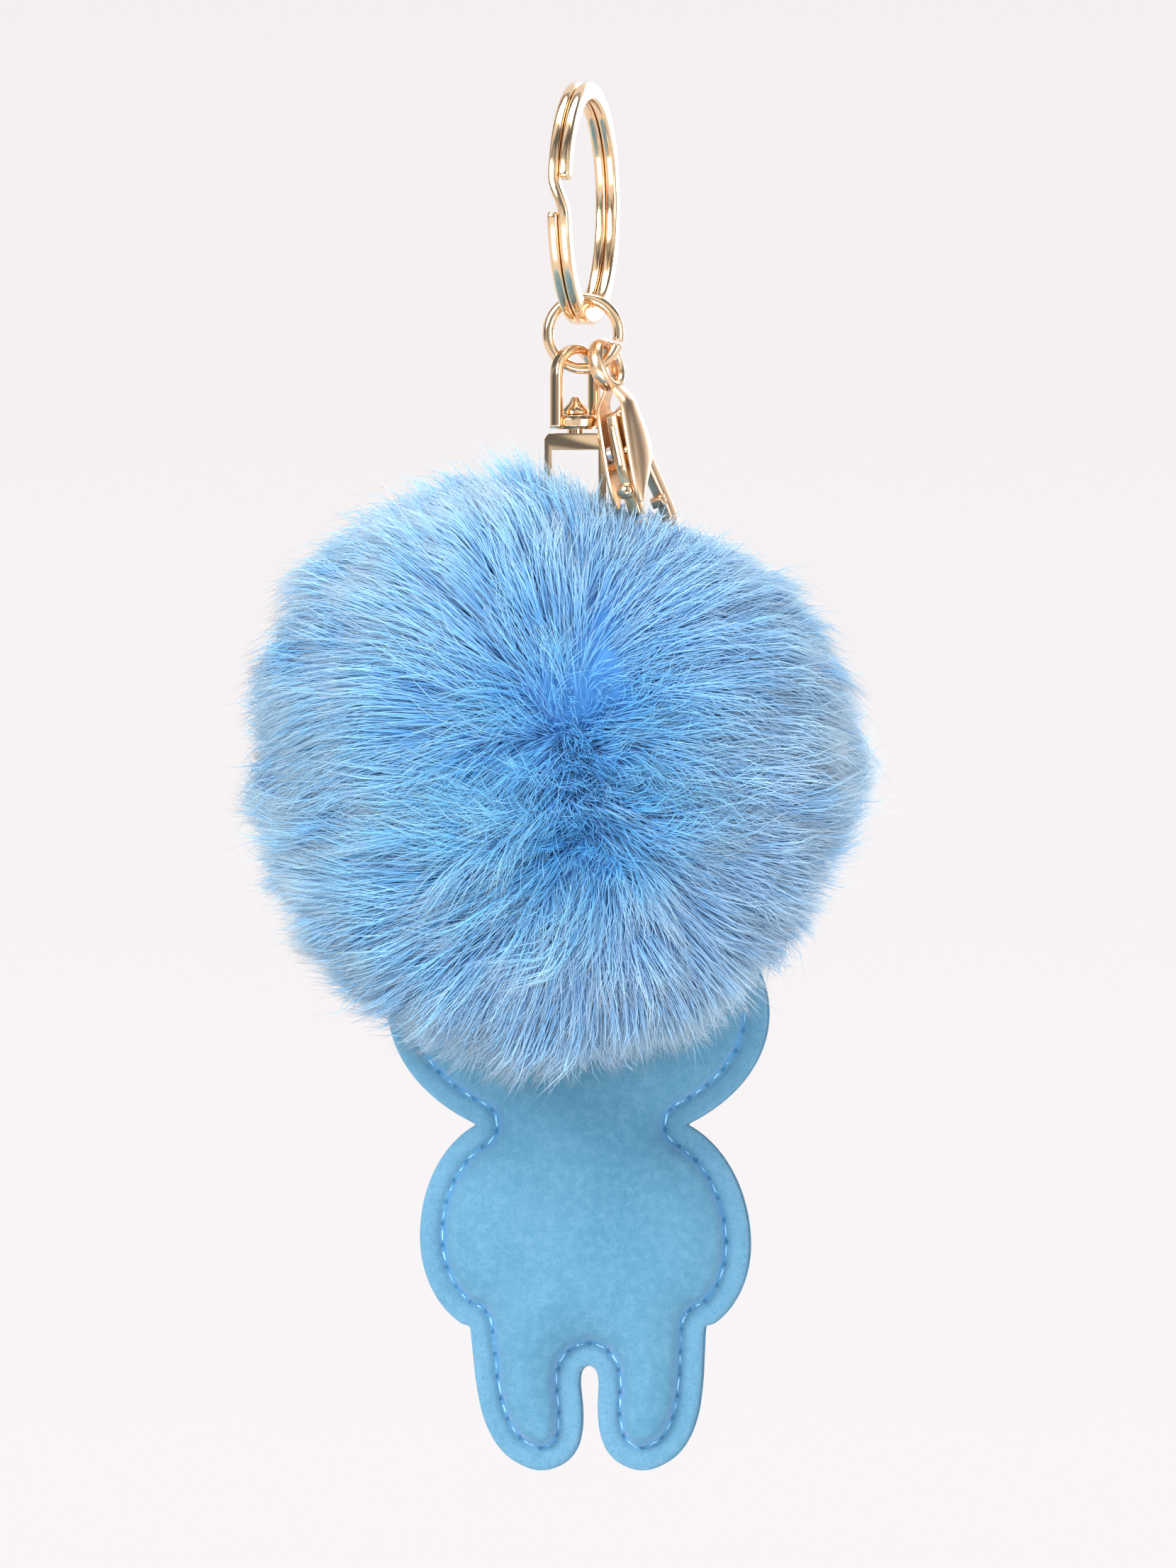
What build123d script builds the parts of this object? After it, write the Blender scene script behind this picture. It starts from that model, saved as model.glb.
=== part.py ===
from build123d import *
from math import asin, cos, pi, radians, sin, sqrt
import os

# Plush keychain: a fur ball and a flat suede doll that hang from a split ring.
# The origin is the highest point of the ring's inside, where a peg or a finger carries it.
# +Z is up, +X is to the right seen from the front, and +Y points away from the viewer.

# ---- driving dimensions, in millimetres and degrees ----
ring_outer_d = 30.6
ring_width = 2.3
coil_thickness = 1.32
coil_gap = 0.08
coil_edge_r = 0.35
ring_turn = 12.5
jog_half_angle = 10.5
jog_rise = 3.5
jog_overlap = 0.3
short_bend = 0.55
long_bend = 0.75
run_inset = 0.12

jump_outer_d = 10.3
jump_wire_d = 1.4
jump_gap = 0.35
jump_gap_angle = -14.7

swivel_x = -1.0
bail_turn = 45
bail_width = 8.0
bail_strip = 1.25
bail_depth = 1.7
wire_room = 3.65
base_d = 5.8
base_depth = 5.1
base_thickness = 1.8

rivet_neck_d = 2.05
rivet_head_d = 3.6
rivet_head_height = 1.6
swivel_gap = 0.5

frame_seat_wall = 0.275
frame_bar = 2.1
frame_wall = 1.0
frame_window = 6.4
frame_corner_r = 0.8
frame_lower_d = 1.6

strap_width = 5.0
strap_thickness = 0.8
strap_drop = 11.5
strap_in_ball = 6.0
anchor_height = 3.0
anchor_length = 8.0

ball_x = -3.8
ball_y = -0.6
pile_length = 17.0
stuffing_r = 19.2
backing_thickness = 0.8
gather_cord_d = 1.2

clasp_turn = 25.0
clasp_tilt = 18.0
clasp_beside = 0.0
eye_hole_d = 4.4
eye_band = 1.1
eye_thickness = 2.0
neck_width = 3.4
hub_drop = 11.0
hub_r = 2.8
hub_inward = 1.0
cheek_wall = 0.45
arm_recess = 0.3
arm_width = 2.0
hook_drop = 19.8
hook_inner_r = 3.9
shoulder_start = 1.2
shoulder_rise = 0.5
shoulder_tangent = 60.0
spine_start = 2.4
throat_start = 1.6
channel_room = 1.6
channel_shift = 2.0
gate_thickness = 2.2
gate_width = 2.0
gate_boss_r = 1.5
gate_taper = 3.2
gate_inner_edge = 1.3
knob_r = 1.3
knob_drop = 5.0
pin_d = 1.0
spring_width = 0.6
spring_r = 1.2

doll_x = 0.4
head_top_drop = 14.7
head_gap = 3.0
head_half_width = 24.0
head_half_height = 17.3
neck_half_width = 13.1
belly_half_width = 20.7
belly_r = 13.6
leg_half_span = 14.9
leg_slot = 2.6
leg_length = 16.7
slot_length = 13.6
panel_thickness = 1.3
stitch_margin = 2.9
thread_width = 0.7
thread_height = 0.35
puff_low = 3.0
puff_high = 4.6
puff_step = 2.8
tack_d = 1.6
tack_drop = 8.0

# ---- named clearances ----
hang_clearance = 0.08
bail_lift = 0.45
bail_slope_room = 2.4
eye_slope_room = 1.0
running_clearance = 0.05
soft_clearance = 0.3
strap_side_room = 0.4
channel_clearance = 0.1
gate_end_clearance = 0.35
tack_clearance = 0.1
pocket_clearance = 1.6
clasp_side_room = 2.8
clasp_headroom = 16.0

# ---- values worked out from the sizes above ----
ring_outer_r = ring_outer_d / 2
ring_inner_r = ring_outer_r - ring_width
ring_centre_z = -ring_inner_r
ring_thickness = 2 * coil_thickness + coil_gap
coil_offset = (coil_thickness + coil_gap) / 2

jump_inner_r = jump_outer_d / 2 - jump_wire_d
jump_wire_r = jump_inner_r + jump_wire_d / 2
band_half_x = ring_thickness / 2 / cos(radians(ring_turn)) + jump_wire_d / 2 * sin(radians(ring_turn))
jump_centre_z = -2 * ring_inner_r - sqrt(jump_inner_r**2 - band_half_x**2) + hang_clearance


def on_jump_ring(x):
    """Height of the wire's centre line at x, on the lower half of the jump ring."""
    return jump_centre_z - sqrt(jump_wire_r**2 - x**2)


def wire_slope(x):
    """Slope of the wire at x, on the lower half of the jump ring."""
    return abs(x) / sqrt(jump_wire_r**2 - x**2)


# A steeper wire takes more room inside the loop that hangs on it.
bail_room = bail_lift + bail_slope_room * wire_slope(swivel_x)
bail_inner_top = on_jump_ring(swivel_x) + jump_wire_d / 2 + bail_room
base_top = bail_inner_top - bail_room - jump_wire_d - wire_room - rivet_head_height
base_bottom = base_top - base_thickness
frame_width = strap_width + 2 * strap_side_room + 2 * frame_wall
frame_depth = rivet_neck_d + 2 * frame_seat_wall
frame_top = base_bottom - swivel_gap
bar_bottom = frame_top - frame_bar
lower_bar_z = bar_bottom - frame_window - frame_lower_d / 2
backing_r = stuffing_r + backing_thickness
pile_r = backing_r + pile_length
ball_top = lower_bar_z - strap_drop
ball_z = ball_top - backing_r


def save(shape, name):
    """Write one piece as its own STEP file."""
    solids = shape.solids()
    piece = solids[0] if len(solids) == 1 else Compound(children=solids)
    piece.label = name
    export_step(piece, f"parts/{name}.step")


# ---- metal hardware ----
def split_ring():
    """Two flat coils side by side, joined by one slanting run of the same strip."""
    profile = Pos(ring_inner_r + ring_width / 2, 0) * RectangleRounded(
        ring_width, coil_thickness, coil_edge_r
    )
    arc = 360 - 2 * jog_half_angle
    coil = revolve(Plane.XZ * profile, Axis.Z, arc)
    lower = Pos(0, 0, -coil_offset) * Rot(0, 0, jog_half_angle) * coil
    upper = Pos(0, 0, coil_offset) * Rot(0, 0, jog_half_angle) * coil
    # The slanting run leaves the lower coil on one side and meets the upper coil on the other.
    reach = ring_outer_r * sin(radians(jog_half_angle)) + jog_overlap
    half = coil_thickness / 2 - run_inset
    run = Polyline(
        (-reach, -coil_offset - half),
        (-short_bend * reach, -coil_offset - half),
        (long_bend * reach, coil_offset - half),
        (reach, coil_offset - half),
        (reach, coil_offset + half),
        (short_bend * reach, coil_offset + half),
        (-long_bend * reach, -coil_offset + half),
        (-reach, -coil_offset + half),
        close=True,
    )
    slab = extrude(Plane.YZ * make_face(run), 2 * ring_outer_r)
    tube = Cylinder(ring_outer_r - run_inset, 3 * ring_thickness)
    tube -= Cylinder(ring_inner_r + run_inset, 3 * ring_thickness)
    ring = (lower + upper) + (slab & tube)
    # The coils' axis lies flat, and the slanting run is on the side nearest to the viewer.
    turn = radians(ring_turn)
    stand = Plane(
        origin=(0, 0, ring_centre_z), x_dir=(-sin(turn), -cos(turn), 0), z_dir=(cos(turn), -sin(turn), 0)
    )
    return stand * Rot(0, 0, -jog_rise) * ring


def jump_ring():
    """Round wire loop that faces the viewer, with its butt joint at the right."""
    section = Plane.XZ * Pos(jump_wire_r, 0) * Circle(jump_wire_d / 2)
    gap_angle = 360 * jump_gap / (2 * pi * jump_wire_r)
    loop = revolve(section, Axis.Z, 360 - gap_angle)
    turned = Rot(90, 0, 0) * Rot(0, 0, jump_gap_angle + gap_angle / 2) * loop
    return Pos(0, 0, jump_centre_z) * turned


def swivel_bail():
    """Bent strip arch over the jump ring, closed by a round base for the rivet."""
    outer_r = bail_width / 2
    inner_r = outer_r - bail_strip
    arch_z = bail_inner_top - inner_r
    strip = Pos(0, arch_z) * Circle(outer_r) + Pos(0, (arch_z + base_bottom) / 2) * Rectangle(
        bail_width, arch_z - base_bottom
    )
    window = Pos(0, arch_z) * Circle(inner_r) + Pos(0, (arch_z + base_top) / 2) * Rectangle(
        2 * inner_r, arch_z - base_top
    )
    body = extrude(Plane.XZ * (strip - window), bail_depth / 2, both=True)
    base = Pos(0, 0, (base_top + base_bottom) / 2) * Cylinder(base_d / 2, base_thickness)
    hole = Pos(0, 0, base_bottom) * Cylinder(rivet_neck_d / 2 + running_clearance, 4 * base_thickness)
    trim = Pos(0, 0, base_bottom) * Box(bail_width, base_depth, 4 * base_thickness)
    bail = body + (base & trim) - hole
    return Pos(swivel_x, 0, 0) * Rot(0, 0, bail_turn) * bail


def swivel_rivet():
    """Domed head above the bail's base, and a neck that is set into the strap frame."""
    head_z = base_top + 2 * running_clearance
    neck_length = head_z - bar_bottom
    dome_r = (rivet_head_d**2 / 4 + rivet_head_height**2) / (2 * rivet_head_height)
    ball = Pos(0, 0, rivet_head_height - dome_r) * Sphere(dome_r)
    keep = Pos(0, 0, rivet_head_height / 2) * Cylinder(rivet_head_d / 2, rivet_head_height)
    neck = Pos(0, 0, -neck_length / 2) * Cylinder(rivet_neck_d / 2, neck_length)
    return Pos(swivel_x, 0, head_z) * ((ball & keep) + neck)


def strap_frame():
    """Rectangular loop with a thick upper bar and a round lower bar for the strap."""
    inner_width = strap_width + 2 * strap_side_room
    height = frame_top - lower_bar_z
    block = Pos(0, 0, frame_top - height / 2) * Box(frame_width, frame_depth, height)
    block = fillet(block.edges().filter_by(Axis.Y).group_by(Axis.Z)[-1], frame_corner_r)
    window = Pos(0, 0, bar_bottom - (height - frame_bar) / 2) * Box(
        inner_width, frame_depth * 2, height - frame_bar
    )
    bar = Pos(0, 0, lower_bar_z) * Rot(0, 90, 0) * Cylinder(frame_lower_d / 2, frame_width)
    seat = Pos(0, 0, frame_top) * Cylinder(rivet_neck_d / 2, 3 * frame_bar)
    return Pos(swivel_x, 0, 0) * ((block - window) + bar - seat)


# ---- lobster clasp, drawn in its own plane with its eye's centre at the origin ----
hook_outer_r = hook_inner_r + arm_width
spine_x = hook_outer_r - 0.5 * arm_width
gate_x = 0.5 * arm_width - hook_outer_r
hub_x = gate_x + hub_inward
hub_z = -hub_drop
hook_z = -hook_drop
channel_width = gate_thickness + spring_width + 3 * channel_clearance
clasp_thickness = channel_width + 2 * cheek_wall
arm_thickness = clasp_thickness - 2 * arm_recess
eye_outer_r = eye_hole_d / 2 + eye_band
# The eye hangs just beside the strap frame.
eye_x = swivel_x + frame_width / 2 + clasp_beside
eye_room = eye_slope_room * wire_slope(eye_x)
eye_z = on_jump_ring(eye_x) + jump_wire_d / 2 - eye_hole_d / 2 + eye_room


def place_clasp(shape):
    """Hang a piece of the clasp from the right of the jump ring."""
    face_turn = 90 - clasp_turn
    return Pos(eye_x, 0, eye_z) * Rot(0, -clasp_tilt, 0) * Rot(0, 0, face_turn) * shape


def flat(sketch, thickness):
    """Plate of a sketch in the clasp's plane, centred on that plane."""
    return extrude(Plane.XZ * sketch, thickness / 2, both=True)


def clasp_body():
    """Eye, neck, forked hub and one-piece spine and hook."""
    eye = flat(Circle(eye_outer_r), eye_thickness)
    neck = flat(Pos(0, hub_z / 2) * Rectangle(neck_width, -hub_z), eye_thickness)
    hub = flat(Pos(hub_x, hub_z) * Circle(hub_r), clasp_thickness)
    shoulder_at = radians(shoulder_tangent)
    shoulder = flat(
        make_face(
            Polyline(
                (-neck_width / 2, -eye_outer_r - shoulder_start),
                (neck_width / 2, -eye_outer_r - shoulder_start),
                (spine_x + arm_width / 2, hub_z - shoulder_rise),
                (spine_x + arm_width / 2, hook_z),
                (spine_x - arm_width / 2, hook_z),
                (spine_x - arm_width / 2, hub_z - spine_start),
                (hub_x, hub_z - throat_start),
                (hub_x - hub_r * cos(shoulder_at), hub_z + hub_r * sin(shoulder_at)),
                close=True,
            )
        ),
        arm_thickness,
    )
    rim = Circle(hook_outer_r) - Circle(hook_inner_r)
    lower_half = Pos(0, -hook_outer_r / 2) * Rectangle(2 * hook_outer_r, hook_outer_r)
    hook = flat(Pos(0, hook_z) * (rim & lower_half), arm_thickness)
    channel_size = 2 * hub_r + channel_room
    channel_place = Pos(hub_x - channel_shift, 0, hub_z - channel_shift)
    channel = channel_place * Box(channel_size, channel_width, channel_size)
    eye_hole = flat(Circle(eye_hole_d / 2), 3 * clasp_thickness)
    pin_hole = flat(Pos(hub_x, hub_z) * Circle(pin_d / 2), 3 * clasp_thickness)
    return place_clasp(eye + neck + hub + shoulder + hook - channel - eye_hole - pin_hole)


def gate_blank():
    """Sprung lever from the pin down to the open end of the hook, with a thumb knob."""
    boss = Pos(hub_x, hub_z) * Circle(gate_boss_r)
    lever = make_face(
        Polyline(
            (hub_x - gate_boss_r, hub_z),
            (hub_x + gate_inner_edge, hub_z),
            (gate_x + gate_width / 2, hub_z - gate_taper),
            (gate_x + gate_width / 2, hook_z + gate_end_clearance),
            (gate_x - gate_width / 2, hook_z + gate_end_clearance),
            (gate_x - gate_width / 2, hub_z - gate_taper),
            close=True,
        )
    )
    knob = Pos(gate_x - gate_width / 2, hub_z - knob_drop) * Circle(knob_r)
    return boss + lever + knob


def clasp_gate():
    """The gate turns on the pin, to the inside of the clasp."""
    bore = flat(Pos(hub_x, hub_z) * Circle(pin_d / 2 + running_clearance), 3 * clasp_thickness)
    gate = flat(gate_blank(), gate_thickness) - bore
    to_side = (channel_width - gate_thickness) / 2 - channel_clearance
    return place_clasp(Pos(0, -to_side, 0) * gate)


def clasp_pin():
    """Pin pressed through both cheeks of the hub."""
    return place_clasp(flat(Pos(hub_x, hub_z) * Circle(pin_d / 2), clasp_thickness))


def clasp_spring():
    """Small torsion spring, as its coiled outer shape, beside the gate on the pin."""
    ring = Circle(spring_r) - Circle(pin_d / 2 + running_clearance)
    coil = flat(Pos(hub_x, hub_z) * ring, spring_width)
    to_side = (channel_width - spring_width) / 2 - channel_clearance
    return place_clasp(Pos(0, to_side, 0) * coil)


# ---- fur ball ----
strap_bottom = ball_top - strap_in_ball
strap_inner_r = frame_lower_d / 2 + running_clearance
strap_outer_r = strap_inner_r + strap_thickness


def strap_passage():
    """Space that the strap fills: a loop round the lower bar, and two layers down into the ball."""
    length = lower_bar_z - strap_bottom
    side_view = Circle(strap_outer_r) + Pos(0, -length / 2) * Rectangle(2 * strap_thickness, length)
    strap = extrude(Plane.YZ * Pos(0, lower_bar_z) * side_view, strap_width / 2, both=True)
    return Pos(swivel_x, 0, 0) * strap


def hanging_strap():
    """Folded fabric strap that carries the plush pieces on the lower bar."""
    bore = Rot(0, 90, 0) * Cylinder(strap_inner_r, 2 * strap_width)
    return strap_passage() - Pos(swivel_x, 0, lower_bar_z) * bore


def strap_anchor():
    """Bar sewn to the strap's end, inside the stuffing, that keeps it from pulling out."""
    bar = Box(anchor_length, anchor_height, anchor_height)
    return Pos(swivel_x, 0, strap_bottom - anchor_height / 2) * bar


def ball_place(shape):
    """Move a shape from the origin to the ball's centre."""
    return Pos(ball_x, ball_y, ball_z) * shape


def gather_cord():
    """Drawstring that gathers the cloth cover round the strap."""
    cord_r = sqrt(strap_width**2 + 4 * strap_thickness**2) / 2 + gather_cord_d / 2 + soft_clearance
    # The cord rests on the round cover where it passes nearest to the ball's own axis.
    nearest = cord_r - sqrt((ball_x - swivel_x) ** 2 + ball_y**2)
    cord_z = ball_z + sqrt((backing_r + gather_cord_d / 2) ** 2 - nearest**2)
    return Pos(swivel_x, 0, cord_z) * Torus(cord_r, gather_cord_d / 2)


def ball_stuffing():
    """Filling of the ball, which gives it its firm middle."""
    return ball_place(Sphere(stuffing_r)) - strap_passage() - strap_anchor()


def fur_backing():
    """Knitted cloth that the pile grows from."""
    return ball_place(Sphere(backing_r) - Sphere(stuffing_r)) - strap_passage()


def fur_pile():
    """Long pile as one soft solid, parted where the hardware and the doll's head lie."""
    pile = ball_place(Sphere(pile_r) - Sphere(backing_r))
    reach = frame_width / 2 + pocket_clearance
    well = Pos(swivel_x, 0, strap_bottom + pile_r) * Cylinder(reach, 2 * pile_r)
    clasp_box = place_clasp(
        Pos(0, 0, hook_z)
        * Box(
            2 * (hook_outer_r + pocket_clearance),
            clasp_thickness + 2 * clasp_side_room,
            2 * (hook_outer_r + pocket_clearance) + clasp_headroom,
        )
    )
    head_hole = extrude(
        Plane.XZ.offset(-(doll_y - puff_high - soft_clearance)) * doll_outline(-pocket_clearance, legs=False),
        -2 * pile_r,
    )
    return pile - well - clasp_box - head_hole - tack_thread() - strap_passage() - gather_cord()


# ---- flat doll ----
# The head lies against the back of the ball's firm middle, a small gap behind it.
core_half_depth = sqrt(backing_r**2 - head_top_drop**2)
doll_y = ball_y + core_half_depth + head_gap + panel_thickness
head_z = ball_z - head_top_drop - head_half_height
neck_z = head_z - head_half_height * sqrt(1 - (neck_half_width / head_half_width) ** 2)
belly_z = neck_z - belly_r
belly_x = belly_half_width - belly_r
hip_z = neck_z - 2 * belly_r
foot_r = (leg_half_span - leg_slot / 2) / 2
foot_x = leg_half_span - foot_r
foot_z = hip_z - leg_length + foot_r
slot_top = foot_z - foot_r + slot_length - leg_slot / 2


def doll_outline(inset, legs=True):
    """Front view of the doll, drawn in by inset: oval head, neck, wide belly and two short legs."""
    outline = Pos(0, head_z) * Ellipse(head_half_width - inset, head_half_height - inset)
    outline += Pos(0, (head_z + belly_z) / 2) * Rectangle(
        2 * (neck_half_width - inset), head_z - belly_z
    )
    outline += Pos(0, belly_z) * Rectangle(2 * belly_x, 2 * (belly_r - inset))
    for side in (-1, 1):
        outline += Pos(side * belly_x, belly_z) * Circle(belly_r - inset)
    if legs:
        outline += Pos(0, (belly_z + slot_top) / 2) * Rectangle(2 * foot_x, belly_z - slot_top)
        for side in (-1, 1):
            leg = Pos(0, (belly_z - foot_z) / 2) * Rectangle(2 * (foot_r - inset), belly_z - foot_z)
            outline += Pos(side * foot_x, foot_z) * (leg + Circle(foot_r - inset))
        outline -= Pos(0, slot_top) * Circle(leg_slot / 2 + inset)
    return Pos(doll_x, 0) * outline


def doll_layer(inset, near, far, legs=True):
    """Slab of the outline, drawn in by inset, between two depths."""
    return extrude(Plane.XZ.offset(-near) * doll_outline(inset, legs), -(far - near))


def puff(shrink, side):
    """Stuffed part of one side, shrink smaller than the panel's outer face."""
    inset = stitch_margin + thread_width + shrink
    low = sorted((doll_y, doll_y + side * (puff_low - shrink)))
    high = sorted((doll_y, doll_y + side * (puff_high - shrink)))
    return doll_layer(inset, *low) + doll_layer(inset + puff_step, *high, legs=False)


def doll_panel(side):
    """Suede panel with a flat seam edge and a raised middle; side is -1 at the front."""
    edge = doll_layer(0, *sorted((doll_y, doll_y + side * panel_thickness)))
    return edge + puff(0, side) - puff(panel_thickness, side)


def doll_stuffing():
    """Filling between the two panels."""
    return puff(panel_thickness, -1) + puff(panel_thickness, 1)


def seam_thread(side):
    """Seam thread on one side, as a line raised on the flat edge."""
    near, far = sorted((doll_y + side * panel_thickness, doll_y + side * (panel_thickness + thread_height)))
    line = doll_layer(stitch_margin - thread_width / 2, near, far)
    return line - doll_layer(stitch_margin + thread_width / 2, near - 1, far + 1)


def tack_thread():
    """Bundle of thread from the ball's middle to the doll's head, which rocks on its round end."""
    tip = Vector(doll_x, doll_y - puff_high - tack_clearance - tack_d / 2, ball_z - head_top_drop - tack_drop)
    middle = Vector(ball_x, ball_y, ball_z)
    slant = Plane(origin=middle, z_dir=tip - middle)
    length = (tip - middle).length
    bundle = slant * Pos(0, 0, length / 2) * Cylinder(tack_d / 2, length)
    return bundle + Pos(tip) * Sphere(tack_d / 2) - ball_place(Sphere(backing_r))


os.makedirs("parts", exist_ok=True)
save(split_ring(), "split_ring")
save(jump_ring(), "jump_ring")
save(swivel_bail(), "swivel_bail")
save(swivel_rivet(), "swivel_rivet")
save(strap_frame(), "strap_frame")
save(clasp_body(), "clasp_body")
save(clasp_gate(), "clasp_gate")
save(clasp_pin(), "clasp_pin")
save(clasp_spring(), "clasp_spring")
save(hanging_strap(), "hanging_strap")
save(strap_anchor(), "strap_anchor")
save(gather_cord(), "gather_cord")
save(ball_stuffing(), "ball_stuffing")
save(fur_backing(), "fur_backing")
save(fur_pile(), "fur_pile")
save(tack_thread(), "tack_thread")
save(doll_panel(-1), "doll_front_panel")
save(doll_panel(1), "doll_back_panel")
save(doll_stuffing(), "doll_stuffing")
save(seam_thread(-1), "seam_thread_front")
save(seam_thread(1), "seam_thread_back")
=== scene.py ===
import math

import bmesh
import bpy
import numpy as np
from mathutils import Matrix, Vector
from mathutils.kdtree import KDTree


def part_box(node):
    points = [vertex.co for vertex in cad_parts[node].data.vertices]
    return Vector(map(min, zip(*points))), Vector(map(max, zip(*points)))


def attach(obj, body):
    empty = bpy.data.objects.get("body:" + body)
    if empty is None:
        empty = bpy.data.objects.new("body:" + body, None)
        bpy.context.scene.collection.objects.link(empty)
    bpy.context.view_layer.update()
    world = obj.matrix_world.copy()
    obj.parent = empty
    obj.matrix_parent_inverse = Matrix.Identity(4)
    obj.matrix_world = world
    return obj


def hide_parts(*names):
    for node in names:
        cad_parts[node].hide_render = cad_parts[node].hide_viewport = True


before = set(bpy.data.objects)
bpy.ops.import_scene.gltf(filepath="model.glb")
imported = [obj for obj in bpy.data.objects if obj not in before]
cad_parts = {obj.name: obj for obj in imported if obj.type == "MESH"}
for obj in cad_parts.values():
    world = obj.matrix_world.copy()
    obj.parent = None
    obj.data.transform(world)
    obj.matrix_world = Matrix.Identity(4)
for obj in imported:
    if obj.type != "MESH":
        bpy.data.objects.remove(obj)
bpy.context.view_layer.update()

# ---- split ring ----
# Flat gold-plated steel strip wound into two coils that lie side by side. It is one length:
# a short run slants from one coil over to the other, and both cut ends stop beside that run.
MM = 0.001


def new_piece(name, points, faces, smooth=True):
    """A mesh object from an (n, 3) array of points in metres and one or more arrays of faces.
    Each array of faces holds polygons of one size, as rows of point numbers."""
    mesh = bpy.data.meshes.new(name)
    sizes = np.concatenate([np.full(len(f), f.shape[1]) for f in faces])
    mesh.vertices.add(len(points))
    mesh.vertices.foreach_set("co", np.asarray(points, np.float32).ravel())
    mesh.loops.add(int(sizes.sum()))
    mesh.loops.foreach_set("vertex_index", np.concatenate([f.ravel() for f in faces]).astype(np.int32))
    mesh.polygons.add(len(sizes))
    mesh.polygons.foreach_set("loop_start", np.concatenate([[0], np.cumsum(sizes)[:-1]]).astype(np.int32))
    mesh.update(calc_edges=True)
    mesh.validate()
    mesh.polygons.foreach_set("use_smooth", np.full(len(mesh.polygons), smooth))
    piece = bpy.data.objects.new(name, mesh)
    bpy.context.scene.collection.objects.link(piece)
    return piece


def grid_faces(rows, columns, wrap_rows=False, wrap_columns=False, start=0):
    """Quads between neighbouring rows and columns of a grid of points that are numbered row by row.
    Wrapping joins the last row or column to the first."""
    r = np.arange(rows if wrap_rows else rows - 1)[:, None]
    c = np.arange(columns if wrap_columns else columns - 1)[None, :]
    r2, c2 = (r + 1) % rows, (c + 1) % columns
    corners = [r * columns + c, r * columns + c2, r2 * columns + c2, r2 * columns + c]
    return np.stack([x.ravel() for x in corners], 1) + start


def swept(name, path, across, up, profile, closed=False, scale=None):
    """A profile carried along a path: point (i, j) is path[i] + scale[i] * (u[j] * across[i] + v[j] * up[i]).
    An open path is closed with one point at each end."""
    n, m = len(path), len(profile)
    scale = np.ones(n) if scale is None else scale
    reach = profile[None, :, 0, None] * across[:, None, :] + profile[None, :, 1, None] * up[:, None, :]
    points = (path[:, None, :] + scale[:, None, None] * reach).reshape(-1, 3)
    faces = [grid_faces(n, m, wrap_rows=closed, wrap_columns=True)]
    if not closed:
        points = np.vstack([points, path[:1], path[-1:]])
        j = np.arange(m)
        first = np.stack([np.full(m, n * m), (j + 1) % m, j], 1)
        last = np.stack([np.full(m, n * m + 1), (n - 1) * m + j, (n - 1) * m + (j + 1) % m], 1)
        faces.append(np.vstack([first, last]))
    piece = new_piece(name, points, faces)
    recalculate(piece)
    return piece


def recalculate(piece, weld=0.0):
    """Point every face of a closed piece outwards, by the sign of its signed volume. A weld
    distance joins the points that lie within it first, and drops the faces that shrink to a line."""
    bm = bmesh.new()
    bm.from_mesh(piece.data)
    if weld:
        bmesh.ops.remove_doubles(bm, verts=bm.verts, dist=weld)
        bmesh.ops.dissolve_degenerate(bm, dist=1.25 * weld, edges=bm.edges)
    bmesh.ops.recalc_face_normals(bm, faces=bm.faces)
    if bm.calc_volume(signed=True) < 0:
        bmesh.ops.reverse_faces(bm, faces=bm.faces)
    bm.to_mesh(piece.data)
    bm.free()


def rounded(width, height, corner, steps=6):
    """Outline of a rectangle with round corners: a quarter circle of the corner's radius at each corner."""
    angle = np.linspace(0, math.pi / 2, steps)
    centres = [(1, 1), (-1, 1), (-1, -1), (1, -1)]
    parts = []
    for k, (sx, sy) in enumerate(centres):
        turn = angle + k * math.pi / 2
        x = sx * (width / 2 - corner) + corner * np.cos(turn)
        y = sy * (height / 2 - corner) + corner * np.sin(turn)
        parts.append(np.stack([x, y], 1))
    return np.vstack(parts)


def smooth_step(x):
    """0 below 0, 1 above 1, and 3x^2 - 2x^3 between."""
    x = np.clip(x, 0, 1)
    return x * x * (3 - 2 * x)


def finished(piece, material, body, slot, *replaced):
    """Give a piece its material and its body, and hide the CAD nodes it stands for. The slot argument is not used.
    """
    if material:
        piece.data.materials.append(material)
    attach(piece, body)
    if replaced:
        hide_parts(*replaced)
    return piece


def dress(material, *names):
    """Give a material to CAD nodes that stay visible."""
    for node in names:
        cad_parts[node].data.materials.clear()
        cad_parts[node].data.materials.append(material)


def added(nodes, kind, **values):
    """A new shader node with its properties and input sockets set by name. A socket value is linked."""
    node = nodes.new("ShaderNode" + kind)
    for name, value in values.items():
        if hasattr(node, name):
            setattr(node, name, value)
            continue
        socket = node.inputs[int(name[1:])] if name[1:].isdigit() else node.inputs[name.replace("_", " ")]
        if isinstance(value, bpy.types.NodeSocket):
            nodes.id_data.links.new(value, socket)
        else:
            socket.default_value = (*value, 1) if isinstance(value, tuple) and socket.type == "RGBA" else value
    return node


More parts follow.
